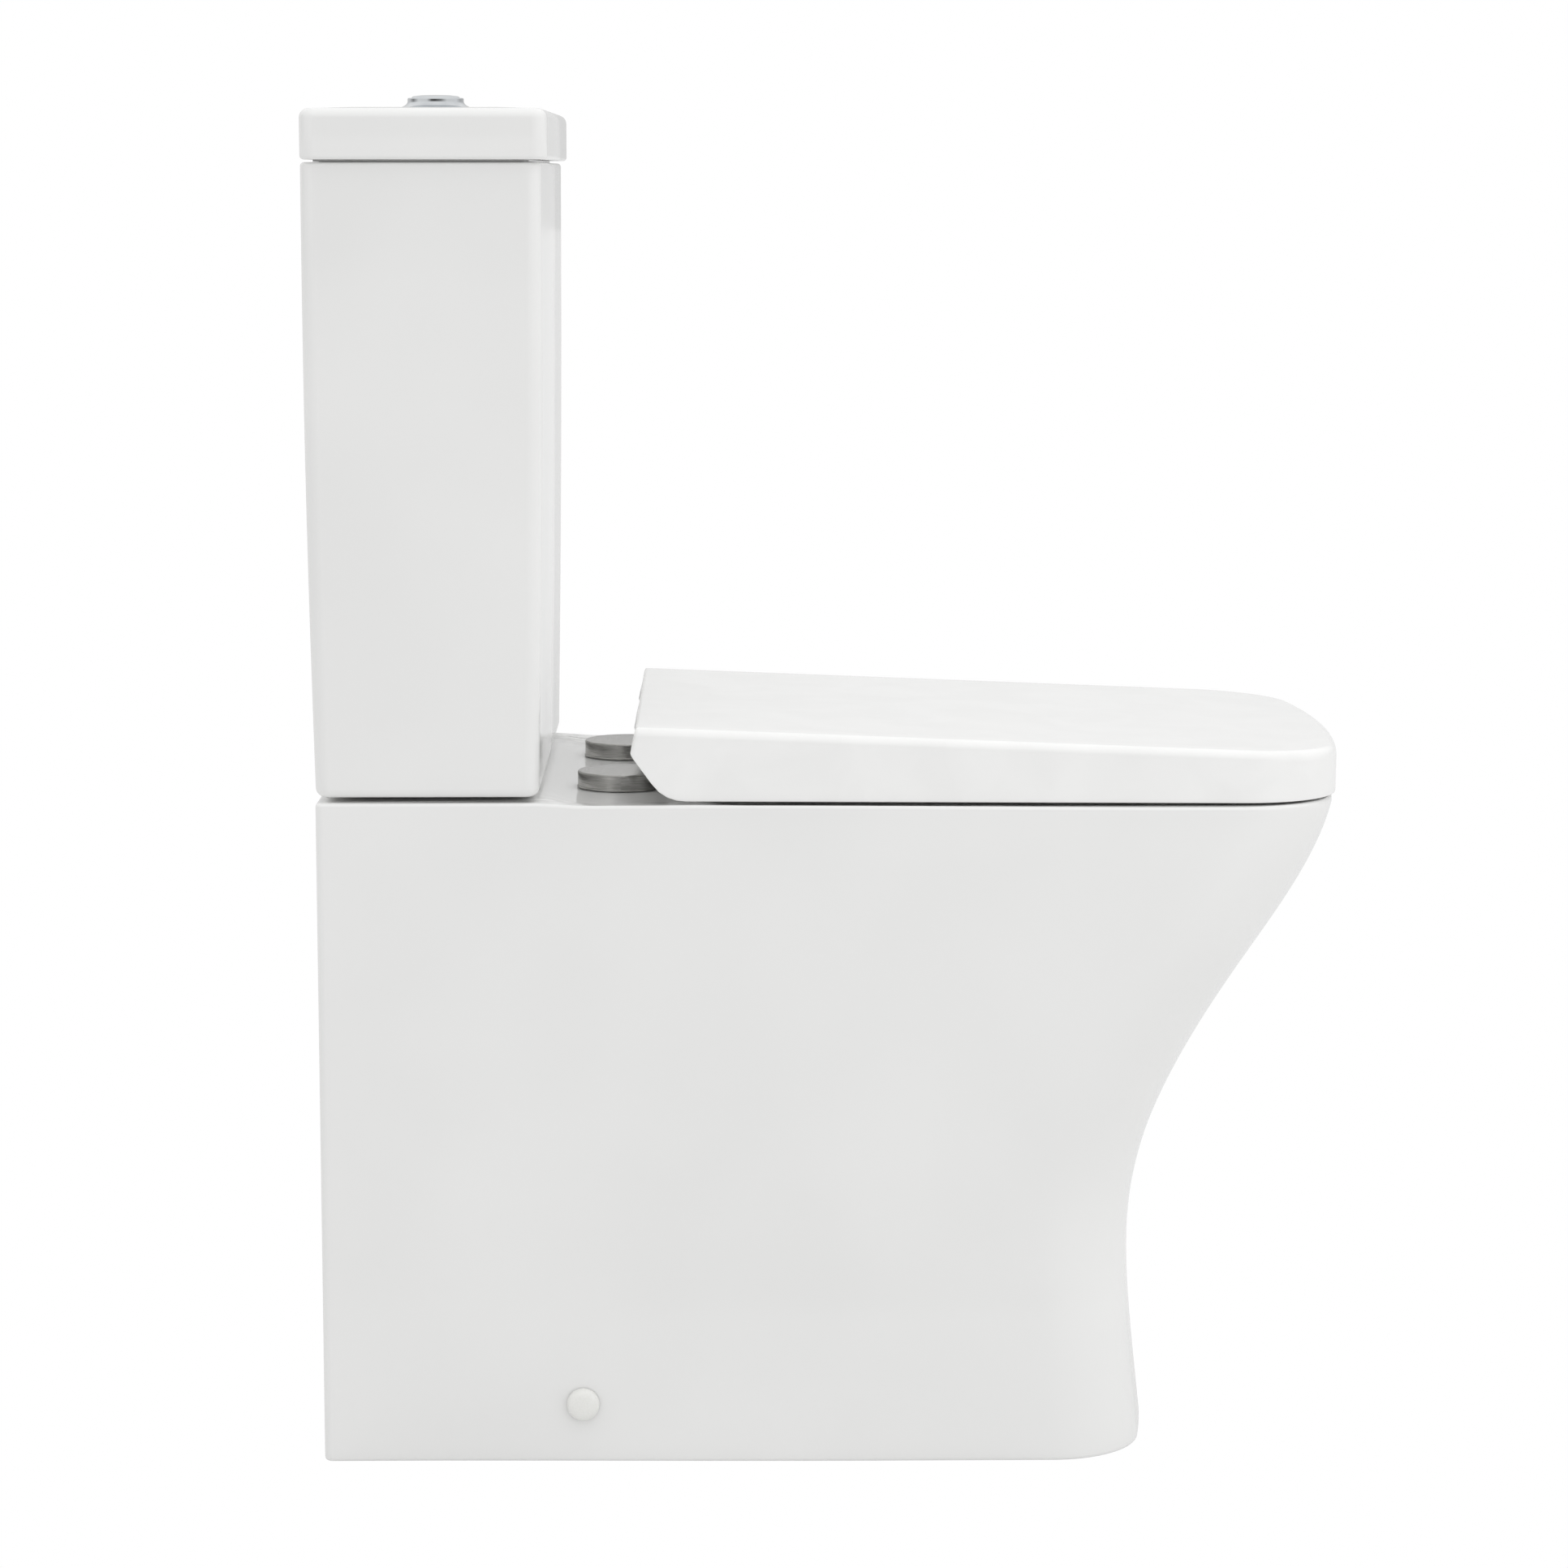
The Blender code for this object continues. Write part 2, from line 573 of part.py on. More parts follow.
def build_cover():
    rings = [cover_ring(0.0025, 0.0, False, 0.0), cover_ring(0.0010, 0.004, False, 0.0),
             cover_ring(0.0, 0.010, False, 0.0), cover_ring(0.0, 0.006, True, 0.7 * COVER_LEAN),
             cover_ring(0.0012, 0.0025, True, COVER_LEAN),
             cover_ring(0.0045, 0.0005, True, COVER_LEAN + 0.0006),
             cover_ring(0.0100, 0.0, True, COVER_LEAN + 0.0015)]
    cover = add("seat_cover", loft(rings), SEAT_PLASTIC)
    (start_d, start_z), (end_d, end_z) = REAR_CHAMFER
    slant = math.atan2(start_z - end_z, end_d - start_d)
    foot = cover_foot(end_d)
    radius = (end_z - foot) / (1 - math.cos(slant))
    foot_d = end_d + radius * math.sin(slant)
    sweep = arc((foot_d, foot + radius), radius, 270 - math.degrees(slant), 270, 4)[1:]
    below = RIM_Z - 0.015
    corner = [(start_d - 0.02, start_z)] + REAR_CHAMFER + sweep + [(foot_d, below), (start_d - 0.02, below)]
    cut(cover, add("corner", side_prism(corner, -COVER_HALF - 0.03, COVER_HALF + 0.03), SEAT_PLASTIC))
    space = [cover_ring(COVER_WALL, -0.02, False), cover_ring(COVER_WALL, 0.012, True),
             cover_ring(COVER_WALL + 0.004, COVER_WALL, True)]
    cut(cover, add("space", loft(space), SEAT_PLASTIC))
    for side in (-1, 1):
        start = HINGE_X + POST_HALF + RUN
        reach = POST_HALF + RUN + KNUCKLE_LENGTH
        near, far = side * (HINGE_X - reach - 0.0016), side * (HINGE_X + reach + 0.0086)
        pocket = block((near, COVER_REAR_D - 0.01, below),
                       (far, COVER_REAR_D + 0.012, cover_top(COVER_REAR_D) - COVER_WALL))
        knuckle = rod(KNUCKLE_R, start, start + KNUCKLE_LENGTH, ROUND, at(0, AXIS_D, AXIS_Z), "X")
        root = block((start + SET_IN, AXIS_D - 0.008, AXIS_Z),
                     (start + KNUCKLE_LENGTH - SET_IN, AXIS_D + 0.016, cover_top(AXIS_D) - 0.002))
        bore = rod(bored(PIN_R), start - 0.01, start + 0.012, SMALL, at(0, AXIS_D, AXIS_Z), "X")
        pocket_bore = rod(bored(DAMPER_R), start + BOLT_BORE, start + 0.05, SMALL, at(0, AXIS_D, AXIS_Z), "X")
        for bm in (knuckle, root, bore, pocket_bore):
            if side < 0:
                bmesh.ops.scale(bm, vec=(-1, 1, 1), verts=bm.verts)
        cut(cover, add("pocket", pocket, SEAT_PLASTIC))
        join(cover, add("root", root, SEAT_PLASTIC), add("knuckle", knuckle, SEAT_PLASTIC))
        cut(cover, add("bore", bore, SEAT_PLASTIC), add("pocket_bore", pocket_bore, SEAT_PLASTIC))
    return cover


def bored(radius, sides=SMALL):
    """Radius of a faceted bore that clears a faceted pin by RUN."""
    return (radius + RUN) / math.cos(math.pi / sides)


def build_ring():
    inset = COVER_WALL + RING_CLEAR
    rings = []
    for z, more in ((RING_Z, 0.003), (RING_Z + 0.003, 0.0), (RING_TOP - 0.006, 0.0), (RING_TOP - 0.0015, 0.003),
                    (RING_TOP, 0.008)):
        points = outline(COVER_HALF - inset - more, RING_REAR_D + more, COVER_TIP_D - inset - more, 0.012,
                         RIM_CORNER - inset - more, CROWN - inset, rear_steps=2)
        rings.append([at(x, d, z) for x, d in points])
    ring = add("seat_ring", loft(rings), SEAT_PLASTIC)
    hole = []
    for z, more in ((RING_Z - 0.01, 0.0), (RING_TOP - 0.006, 0.0), (RING_TOP - 0.0015, 0.0025),
                    (RING_TOP + 0.004, 0.010)):
        points = outline(RING_HOLE_HALF + more, RING_HOLE_REAR_D - more, RING_HOLE_FRONT_D + more, 0.080, 0.092,
                         rear_steps=4, side_steps=1, corner_steps=5)
        hole.append([at(x, d, z) for x, d in points])
    cut(ring, add("hole", loft(hole), SEAT_PLASTIC))
    for side in (-1, 1):
        end = HINGE_X - POST_HALF - RUN
        knuckle = rod(KNUCKLE_R, end - KNUCKLE_LENGTH, end, ROUND, at(0, AXIS_D, AXIS_Z), "X")
        arm = side_prism([(AXIS_D - 0.004, AXIS_Z - 0.0085), (RING_REAR_D - 0.001, RING_Z + 0.006),
                          (RING_REAR_D + 0.03, RING_Z + 0.006), (RING_REAR_D + 0.03, RING_TOP - 0.001),
                          (AXIS_D + 0.006, AXIS_Z + 0.007)],
                         end - KNUCKLE_LENGTH + SET_IN, end - SET_IN)
        bore = rod(bored(PIN_R), end - 0.012, end + 0.01, SMALL, at(0, AXIS_D, AXIS_Z), "X")
        pocket_bore = rod(bored(DAMPER_R), end - 0.05, end - BOLT_BORE, SMALL, at(0, AXIS_D, AXIS_Z), "X")
        for bm in (knuckle, arm, bore, pocket_bore):
            if side < 0:
                bmesh.ops.scale(bm, vec=(-1, 1, 1), verts=bm.verts)
        join(ring, add("arm", arm, SEAT_PLASTIC), add("knuckle", knuckle, SEAT_PLASTIC))
        cut(ring, add("bore", bore, SEAT_PLASTIC), add("pocket_bore", pocket_bore, SEAT_PLASTIC))
    return ring


def build_buffers():
    z0, z1 = RIM_Z + GAP, RING_Z - GAP
    for name, d in RING_BUFFER_D.items():
        for side, hand in ((-1, "left"), (1, "right")):
            pad = block((side * BUFFER_X - 0.009, d - 0.014, z0), (side * BUFFER_X + 0.009, d + 0.014, z1))
            bmesh.ops.bevel(pad, geom=[e for e in pad.edges if abs(e.verts[0].co.z - e.verts[1].co.z) > 0.001],
                            offset=0.004, segments=2, affect="EDGES", profile=0.5)
            add(f"ring_buffer_{name}_{hand}", pad, BUFFER)
    for side, hand in ((-1, "left"), (1, "right")):
        top = cover_top(COVER_BUFFER_D + 0.007) - COVER_WALL - GAP
        low = RING_TOP + GAP
        pad = turned([(0, low), (0.0055, low), (0.0065, low + 0.0015), (0.0065, top), (0, top)], SMALL,
                     at(side * BUFFER_X, COVER_BUFFER_D, 0))
        add(f"cover_buffer_{hand}", pad, BUFFER)


# ---- hinges --------------------------------------------------------------------------------------
def build_hinge(side, hand):
    x = side * HINGE_X
    cap_low, cap_high = RIM_Z + 0.0006, RIM_Z + 0.0006 + CAP_HEIGHT
    skin = CAP_SKIN
    cap = add(f"hinge_cap_{hand}", turned([
        (CAP_R - skin, cap_low), (CAP_R, cap_low), (CAP_R, cap_low + 0.001), (CAP_R - 0.0006, cap_high - 0.001),
        (CAP_R - 0.0016, cap_high), (0, cap_high), (0, cap_high - skin),
        (CAP_R - skin - 0.0006, cap_high - skin),
    ], ROUND, at(x, HINGE_STUD_D, 0)), STEEL)
    slot_rear, slot_front = AXIS_D - 0.0095, AXIS_D - 0.0045
    slot = block((x - POST_HALF - RUN, slot_rear - RUN, cap_high - 0.005),
                 (x + POST_HALF + RUN, slot_front + RUN, cap_high + 0.005))
    cut(cap, add("slot", slot, STEEL))

    foot_low, foot_high = RIM_Z + GAP, RIM_Z + 0.0038
    foot = tube(bored(HINGE_STUD_R), CAP_R - 0.003, foot_low, foot_high, ROUND, at(x, HINGE_STUD_D, 0))
    post = add(f"hinge_post_{hand}", foot, ZINC)
    head = PIN_R + 0.0035
    tower = [(slot_rear, foot_low + 0.001), (slot_front, foot_low + 0.001), (slot_front, cap_high + 0.0025),
             (AXIS_D + head, AXIS_Z - 0.007)]
    tower += arc((AXIS_D, AXIS_Z), head, 0, 180, 8)
    tower += [(AXIS_D - head, cap_high + 0.003), (slot_rear, cap_high + 0.0010)]
    join(post, add("tower", side_prism(tower, x - POST_HALF, x + POST_HALF), ZINC))
    cut(post, add("bore", rod(bored(PIN_R), x - 0.02, x + 0.02, SMALL, at(0, AXIS_D, AXIS_Z), "X"), ZINC))

    pin_half = POST_HALF + BOLT_BORE - 0.0010
    pin = rod(PIN_R, x - pin_half, x + pin_half, SMALL, at(0, AXIS_D, AXIS_Z), "X")
    add(f"hinge_pin_{hand}", pin, STEEL)
    deck_under = RIM_Z - DECK_THICK
    add(f"hinge_stud_{hand}", turned([
        (0, RIM_Z - 0.045), (HINGE_STUD_R, RIM_Z - 0.045), (HINGE_STUD_R, foot_high + GAP),
        (0.0070, foot_high + GAP), (0.0070, foot_high + 0.0040), (0, foot_high + 0.0040),
    ], SMALL, at(x, HINGE_STUD_D, 0)), ZINC)
    washer_top = deck_under - GAP
    add(f"hinge_washer_{hand}", tube(bored(HINGE_STUD_R), 0.011, washer_top - 0.003, washer_top, SMALL,
                                     at(x, HINGE_STUD_D, 0)), RUBBER)
    wing_nut(f"hinge_wing_nut_{hand}", x, HINGE_STUD_D, washer_top - 0.003 - GAP, HINGE_STUD_R, WHITE_ABS)


def wing_nut(name, x, d, top, radius, mat):
    nut = add(name, tube(bored(radius), radius + 0.004, top - 0.010, top, SMALL, at(x, d, 0)), mat)
    for way in (-1, 1):
        near = radius + 0.0025
        wing = block((x + way * near, d - 0.0015, top - 0.012),
                     (x + way * (near + 0.009), d + 0.0015, top - 0.003))
        join(nut, add("wing", wing, mat))
    return nut


def build_dampers():
    inner_end = HINGE_X - POST_HALF - RUN - BOLT_BORE - GAP
    outer_start = HINGE_X + POST_HALF + RUN + BOLT_BORE + GAP
    for name, low in (("seat_damper", -inner_end), ("cover_damper", outer_start)):
        barrel = turned([(0, low), (DAMPER_R - 0.0006, low), (DAMPER_R, low + 0.0006),
                         (DAMPER_R, low + DAMPER_LENGTH - 0.0006), (DAMPER_R - 0.0006, low + DAMPER_LENGTH),
                         (0, low + DAMPER_LENGTH)], SMALL, at(0, AXIS_D, AXIS_Z), "X")
        add(name, barrel, GREY_ABS)


# ---- flush gear ----------------------------------------------------------------------------------
def build_flush_valve():
    centre = at(0, FLUSH_D, 0)
    floor = CISTERN_Z + CISTERN_FLOOR
    flange_top = floor + 0.005
    seat_z = floor + 0.0126
    nut_foot = CISTERN_Z - GAP - VALVE_NUT_THICK
    seat_half = VALVE_SHANK_R + 0.001
    add("flush_valve_base", turned([
        (VALVE_BORE, CISTERN_Z - 0.022), (VALVE_SHANK_R, CISTERN_Z - 0.022), (VALVE_SHANK_R, floor + GAP),
        (VALVE_HOLE + 0.007, floor + GAP), (VALVE_HOLE + 0.007, flange_top), (seat_half, flange_top),
        (seat_half, seat_z - 0.001), (VALVE_BORE + 0.0035, seat_z), (VALVE_BORE, seat_z),
    ], ROUND, centre), WHITE_ABS)
    nut = tube(bored(VALVE_SHANK_R, ROUND), VALVE_NUT_R, nut_foot, CISTERN_Z - GAP, ROUND, centre)
    add("flush_valve_back_nut", nut, WHITE_ABS)
    washer_in, washer_out = VALVE_SHANK_R + 0.0012, SOCKET_R - 0.0008
    washer_foot = RIM_Z + SEAT_STEP - SOCKET_DEPTH + GAP
    add("doughnut_washer", turned([
        (washer_in, washer_foot), (washer_out, washer_foot), (washer_out, CISTERN_Z - GAP),
        (VALVE_NUT_R + 0.0010, CISTERN_Z - GAP), (VALVE_NUT_R + 0.0010, nut_foot - GAP),
        (washer_in, nut_foot - GAP),
    ], ROUND, centre), FOAM)

    tower_in = seat_half + 0.0006
    tower_out = tower_in + 0.0029
    neck_out, neck_in, collar_in = 0.0230, 0.0200, 0.0140
    tower = add("flush_valve_tower", turned([
        (tower_in, flange_top + GAP), (tower_out, flange_top + GAP), (tower_out, TOWER_TOP - 0.120),
        (neck_out, TOWER_TOP - 0.108), (neck_out, TOWER_TOP), (collar_in, TOWER_TOP),
        (collar_in, TOWER_TOP - 0.003), (neck_in, TOWER_TOP - 0.003), (neck_in, TOWER_TOP - 0.110),
        (tower_in, TOWER_TOP - 0.122),
    ], ROUND, centre), WHITE_ABS)
    reach, window_half = tower_out + 0.01, 0.013
    for across, along in ((reach, window_half), (window_half, reach)):
        window = block((-across, FLUSH_D - along, floor + 0.020), (across, FLUSH_D + along, floor + 0.062))
        cut(tower, add("window", window, WHITE_ABS))

    seal_low = seat_z + GAP
    pipe_in, pipe_out, disc = 0.0095, 0.0120, 0.0200
    seal = tube(pipe_out + RUN, VALVE_BORE + 0.0044, seal_low, seal_low + 0.003, ROUND, centre)
    add("valve_seal", seal, RUBBER)
    flange = seal_low + 0.003 + GAP
    pipe_top = TOWER_TOP - 0.0230
    add("overflow_tube", turned([
        (pipe_in, seat_z - 0.004), (pipe_out, seat_z - 0.004), (pipe_out, flange), (disc, flange),
        (disc, flange + 0.003), (pipe_out, flange + 0.003), (pipe_out, pipe_top), (pipe_in, pipe_top),
    ], SMALL, centre), BLUE_ABS)


def build_buttons():
    centre = at(0, FLUSH_D, 0)
    add("button_bezel", turned([
        (BEZEL_BORE, LID_Z - 0.040), (BEZEL_SHANK_R, LID_Z - 0.040), (BEZEL_SHANK_R, LID_Z + GAP),
        (BEZEL_FLANGE_R, LID_Z + GAP), (BEZEL_FLANGE_R, LID_Z + 0.0010), (BEZEL_BORE + 0.0022, LID_Z + 0.0060),
        (BEZEL_BORE + 0.0010, LID_Z + 0.0066), (BEZEL_BORE, LID_Z + 0.0060),
    ], ROUND, centre), CHROME)
    under = LID_Z - LID_TOP_THICK - GAP
    nut = tube(bored(BEZEL_SHANK_R, ROUND), BEZEL_SHANK_R + 0.008, under - 0.009, under, ROUND, centre)
    add("bezel_nut", nut, WHITE_ABS)
    for name, low, high, rod_x in (("full_flush_button", -0.03, BUTTON_SPLIT - BUTTON_GAP, -0.007),
                                   ("half_flush_button", BUTTON_SPLIT + BUTTON_GAP, 0.03, 0.010)):
        foot = LID_Z - 0.006
        button = add(name, turned([
            (0, foot), (BUTTON_R, foot), (BUTTON_R, BUTTON_TOP - 0.0022),
            (BUTTON_R - 0.0010, BUTTON_TOP - 0.0006), (BUTTON_R - 0.0028, BUTTON_TOP), (0, BUTTON_TOP),
        ], ROUND, centre), CHROME)
        half = block((low, FLUSH_D - 0.03, LID_Z - 0.03), (high, FLUSH_D + 0.03, LID_Z + 0.03))
        push_rod = rod(ROD_R, ROD_FOOT_Z, foot + 0.002, SMALL, at(rod_x, FLUSH_D, 0))
        keep(button, add("half", half, CHROME))
        join(button, add("rod", push_rod, CHROME))


# ---- fill valve ----------------------------------------------------------------------------------
def build_fill_valve():
    centre = at(FILL_X, FILL_D, 0)
    floor = CISTERN_Z + CISTERN_FLOOR
    flange = floor + 0.0020
    shank_in, head_r = FILL_SHANK_R - 0.004, 0.0155
    head_low, head_high = LEVER_Z - 0.035, LEVER_Z - 0.012
    body = add("fill_valve_body", turned([
        (shank_in, FILL_SHANK_Z), (FILL_SHANK_R, FILL_SHANK_Z), (FILL_SHANK_R, flange),
        (FILL_FLANGE_R, flange), (FILL_FLANGE_R, flange + 0.004), (FILL_STEM_R, flange + 0.004),
        (FILL_STEM_R, head_low - 0.004), (head_r, head_low), (head_r, head_high),
        (0, head_high), (0, FILL_SHANK_Z + 0.05), (shank_in, FILL_SHANK_Z + 0.05),
    ], SMALL, centre), WHITE_ABS)
    for way in (-1, 1):
        ear_d = FILL_D + way * 0.0075
        ear = block((LEVER_PIVOT_X - 0.003, ear_d - 0.0015, head_high - 0.004),
                    (LEVER_PIVOT_X + 0.003, ear_d + 0.0015, LEVER_Z + 0.005))
        join(body, add("ear", ear, WHITE_ABS))
    pivot = at(LEVER_PIVOT_X, FILL_D, LEVER_Z)
    bore = rod(bored(LEVER_PIVOT_R), -0.012, 0.012, SMALL, pivot, "Y")
    cut(body, add("bore", bore, WHITE_ABS))
    washer = tube(bored(FILL_SHANK_R), FILL_FLANGE_R, floor + GAP, flange - GAP, SMALL, centre)
    add("inlet_washer", washer, RUBBER)
    nut = tube(bored(FILL_SHANK_R), FILL_FLANGE_R, CISTERN_Z - 0.0095, CISTERN_Z - GAP, SMALL, centre)
    add("inlet_back_nut", nut, WHITE_ABS)

    inner = bored(FILL_STEM_R)
    float_top = FLOAT_Z + FLOAT_HEIGHT
    float_cup = add("fill_valve_float", turned([
        (inner, FLOAT_Z), (FLOAT_R - 0.0015, FLOAT_Z), (FLOAT_R, FLOAT_Z + 0.002), (FLOAT_R, float_top - 0.002),
        (FLOAT_R - 0.0015, float_top), (inner, float_top),
    ], SMALL, centre), BLUE_ABS)
    lever_half = 0.002
    link_top = LEVER_Z - lever_half - 0.0012
    link = rod(0.002, float_top - 0.004, link_top, 10, at(LINK_X, FILL_D, 0))
    join(float_cup, add("link", link, BLUE_ABS))

    beam = block((LINK_X - 0.006, FILL_D - 0.004, LEVER_Z - lever_half),
                 (LEVER_PIVOT_X + 0.003, FILL_D + 0.004, LEVER_Z + lever_half))
    lever = add("float_lever", beam, GREY_ABS)
    join(lever, add("pivot", rod(LEVER_PIVOT_R, -0.0095, 0.0095, SMALL, pivot, "Y"), GREY_ABS))


# ---- fasteners -----------------------------------------------------------------------------------
def build_coupling(side, hand):
    x = side * COUPLING_X
    centre = at(x, FLUSH_D, 0)
    floor = CISTERN_Z + CISTERN_FLOOR
    washer = 0.003
    seal = tube(bored(COUPLING_R), COUPLING_R + 0.008, floor + GAP, floor + GAP + washer, SMALL, centre)
    add(f"coupling_seal_{hand}", seal, RUBBER)
    head = floor + 2 * GAP + washer
    head_r = COUPLING_R + 0.0045
    under = RIM_Z - DECK_THICK
    add(f"coupling_bolt_{hand}", turned([
        (0, under - 0.030), (COUPLING_R, under - 0.030), (COUPLING_R, head), (head_r, head),
        (head_r, head + 0.004), (head_r - 0.0015, head + 0.0055), (0, head + 0.0055),
    ], SMALL, centre), ZINC)
    ring = tube(bored(COUPLING_R), COUPLING_R + 0.0065, under - GAP - 0.002, under - GAP, SMALL, centre)
    add(f"coupling_washer_{hand}", ring, RUBBER)
    wing_nut(f"coupling_wing_nut_{hand}", x, FLUSH_D, under - 2 * GAP - 0.002, COUPLING_R, ZINC)


def build_side_fixing(side, hand):
    face = max(side_x(SIDE_FIX_D + 0.02, z) for z in (SIDE_FIX_Z - 0.010, SIDE_FIX_Z))
    inner = min(side_x(SIDE_FIX_D - BRACKET_HALF, z) for z in (0.0, 0.06)) - WALL - 0.0004
    centre = at(0, SIDE_FIX_D, SIDE_FIX_Z)
    head = 0.0024
    cap = turned([(0.0062, face + GAP), (0.0102, face + GAP), (0.0100, face + 0.0022), (0.0085, face + 0.0042),
                  (0.0050, face + 0.0056), (0, face + 0.0061), (0, face + 0.0038), (0.0062, face + 0.0034)],
                 ROUND, centre, "X")
    screw = turned([(0, inner - 0.012), (SIDE_SCREW_R, inner - 0.010), (SIDE_SCREW_R, face + 0.0006),
                    (0.0050, face + 0.0006), (0.0050, face + head), (0, face + 0.0006 + head)],
                   SMALL, centre, "X")
    low_d, high_d = SIDE_FIX_D - BRACKET_HALF, SIDE_FIX_D + BRACKET_HALF
    bracket = side_prism([(low_d, 0.0), (high_d, 0.0), (high_d, 0.050), (high_d - 0.008, 0.058),
                          (low_d + 0.008, 0.058), (low_d, 0.050)], inner - BRACKET_PLATE, inner)
    for bm in (cap, screw, bracket):
        if side < 0:
            bmesh.ops.scale(bm, vec=(-1, 1, 1), verts=bm.verts)
    add(f"side_fixing_cap_{hand}", cap, WHITE_ABS)
    add(f"side_fixing_screw_{hand}", screw, ZINC)
    piece = add(f"floor_bracket_{hand}", bracket, ZINC)
    foot = block((side * (inner - BRACKET_LEG), low_d + SET_IN, 0.0),
                 (side * (inner - BRACKET_PLATE / 2), high_d - SET_IN, BRACKET_PLATE))
    join(piece, add("foot", foot, ZINC))
    hole = rod(SIDE_SCREW_R + SCREW_PLAY, -PAN_HALF - 0.02, PAN_HALF + 0.02, SMALL, centre, "X")
    floor_hole = rod(0.0035, -0.01, 0.01, SMALL, at(side * (inner - 0.022), SIDE_FIX_D, 0))
    cut(piece, add("hole", hole, ZINC), add("floor_hole", floor_hole, ZINC))


build_pan()
build_cistern()
build_lid()
build_cover()
build_ring()
build_buffers()
build_dampers()
build_flush_valve()
build_buttons()
build_fill_valve()
for side, hand in ((-1, "left"), (1, "right")):
    build_hinge(side, hand)
    build_coupling(side, hand)
    build_side_fixing(side, hand)
for obj in bpy.data.objects:
    obj.data.shade_smooth()
    obj.data.set_sharp_from_angle(angle=math.radians(35))
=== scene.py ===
import json
import math

import bmesh
import bpy
from mathutils import Matrix, Vector


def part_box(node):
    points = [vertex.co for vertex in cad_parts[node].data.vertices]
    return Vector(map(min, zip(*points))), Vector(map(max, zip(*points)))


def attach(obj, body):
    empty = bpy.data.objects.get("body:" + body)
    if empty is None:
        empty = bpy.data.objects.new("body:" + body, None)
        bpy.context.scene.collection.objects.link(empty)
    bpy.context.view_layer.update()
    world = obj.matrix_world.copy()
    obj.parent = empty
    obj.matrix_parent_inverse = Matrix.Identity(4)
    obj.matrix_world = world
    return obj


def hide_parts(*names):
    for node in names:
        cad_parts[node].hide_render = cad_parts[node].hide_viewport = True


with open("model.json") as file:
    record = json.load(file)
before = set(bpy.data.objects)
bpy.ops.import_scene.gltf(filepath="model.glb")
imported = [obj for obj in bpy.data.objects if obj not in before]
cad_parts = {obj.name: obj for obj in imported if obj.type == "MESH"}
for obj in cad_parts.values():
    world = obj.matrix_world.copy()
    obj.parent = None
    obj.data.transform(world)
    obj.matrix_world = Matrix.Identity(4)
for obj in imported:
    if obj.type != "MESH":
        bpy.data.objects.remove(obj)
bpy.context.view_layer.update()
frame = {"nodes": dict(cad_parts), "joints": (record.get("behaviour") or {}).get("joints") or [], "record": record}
print("frame loaded:", len(frame["nodes"]), "nodes")

# where things are, read from the frame
panLow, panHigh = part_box("pan")
cisternLow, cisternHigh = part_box("cistern")
lidLow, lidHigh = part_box("cistern_lid")
coverLow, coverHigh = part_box("seat_cover")
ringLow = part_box("seat_ring")[0]
capLow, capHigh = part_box("hinge_cap_right")
wallY = panHigh.y  # the pan's rear face; every distance forward counts from it
hinge = Vector(next(j for j in frame["joints"] if j["name"] == "seat_hinge")["pos_m"])


def at(x, forward, z):
    return Vector((x, wallY - forward, z))


# shapes
def smooth(t):
    t = min(max(t, 0.0), 1.0)
    return t * t * (3 - 2 * t)


def curveThrough(knots, t):  # knots are (place, value, slope)
    for (t0, v0, m0), (t1, v1, m1) in zip(knots, knots[1:]):
        if t <= t1:
            break
    h = t1 - t0
    s = min(max((t - t0) / h, 0.0), 1.0)
    start = v0 * (2 * s**3 - 3 * s**2 + 1) + m0 * h * (s**3 - 2 * s**2 + s)
    return start + v1 * (3 * s**2 - 2 * s**3) + m1 * h * (s**3 - s**2)


def arc(centre, radius, start, end, steps):
    angles = [math.radians(start + (end - start) * i / steps) for i in range(steps + 1)]
    return [(centre[0] + radius * math.cos(a), centre[1] + radius * math.sin(a)) for a in angles]


outlineSteps = {"back": 8, "rear": 5, "side": 44, "corner": 18, "crown": 10}


def outline(half, rear, tip, rearRadius, cornerRadius, crownRadius):
    # plan outline as (x, forward) pairs: straight back and sides, round corners, crowned front
    steps = outlineSteps
    crownD = tip - crownRadius
    cornerX = half - cornerRadius
    cornerD = crownD + math.sqrt(max((crownRadius - cornerRadius) ** 2 - cornerX**2, 1e-12))
    turn = math.degrees(math.atan2(cornerD - crownD, cornerX))
    back = [((half - rearRadius) * i / steps["back"], rear) for i in range(steps["back"])]
    right = back + arc((half - rearRadius, rear + rearRadius), rearRadius, -90, 0, steps["rear"])
    low, high = rear + rearRadius, cornerD
    share = [(i / steps["side"]) ** 1.35 for i in range(1, steps["side"])]  # closer together at the hinge
    right += [(half, low + (high - low) * s) for s in share]
    right += arc((cornerX, cornerD), cornerRadius, 0, turn, steps["corner"])
    right += arc((0, crownD), crownRadius, turn, 90, steps["crown"])[1:]
    return right + [(-x, d) for x, d in reversed(right[1:-1])]


def skin(rings, closed=False):  # closed: the last ring meets the first, as in a seat ring
    mesh = bmesh.new()
    rows = [[mesh.verts.new(p) for p in ring] for ring in rings]
    count = len(rows[0])
    for low, high in zip(rows, rows[1:]):
        for i in range(count):
            j = (i + 1) % count
            mesh.faces.new((low[i], low[j], high[j], high[i]))
    if closed:
        for i in range(count):
            j = (i + 1) % count
            mesh.faces.new((rows[-1][i], rows[-1][j], rows[0][j], rows[0][i]))
    else:
        mesh.faces.new(rows[0])
        mesh.faces.new(rows[-1])
    return mesh


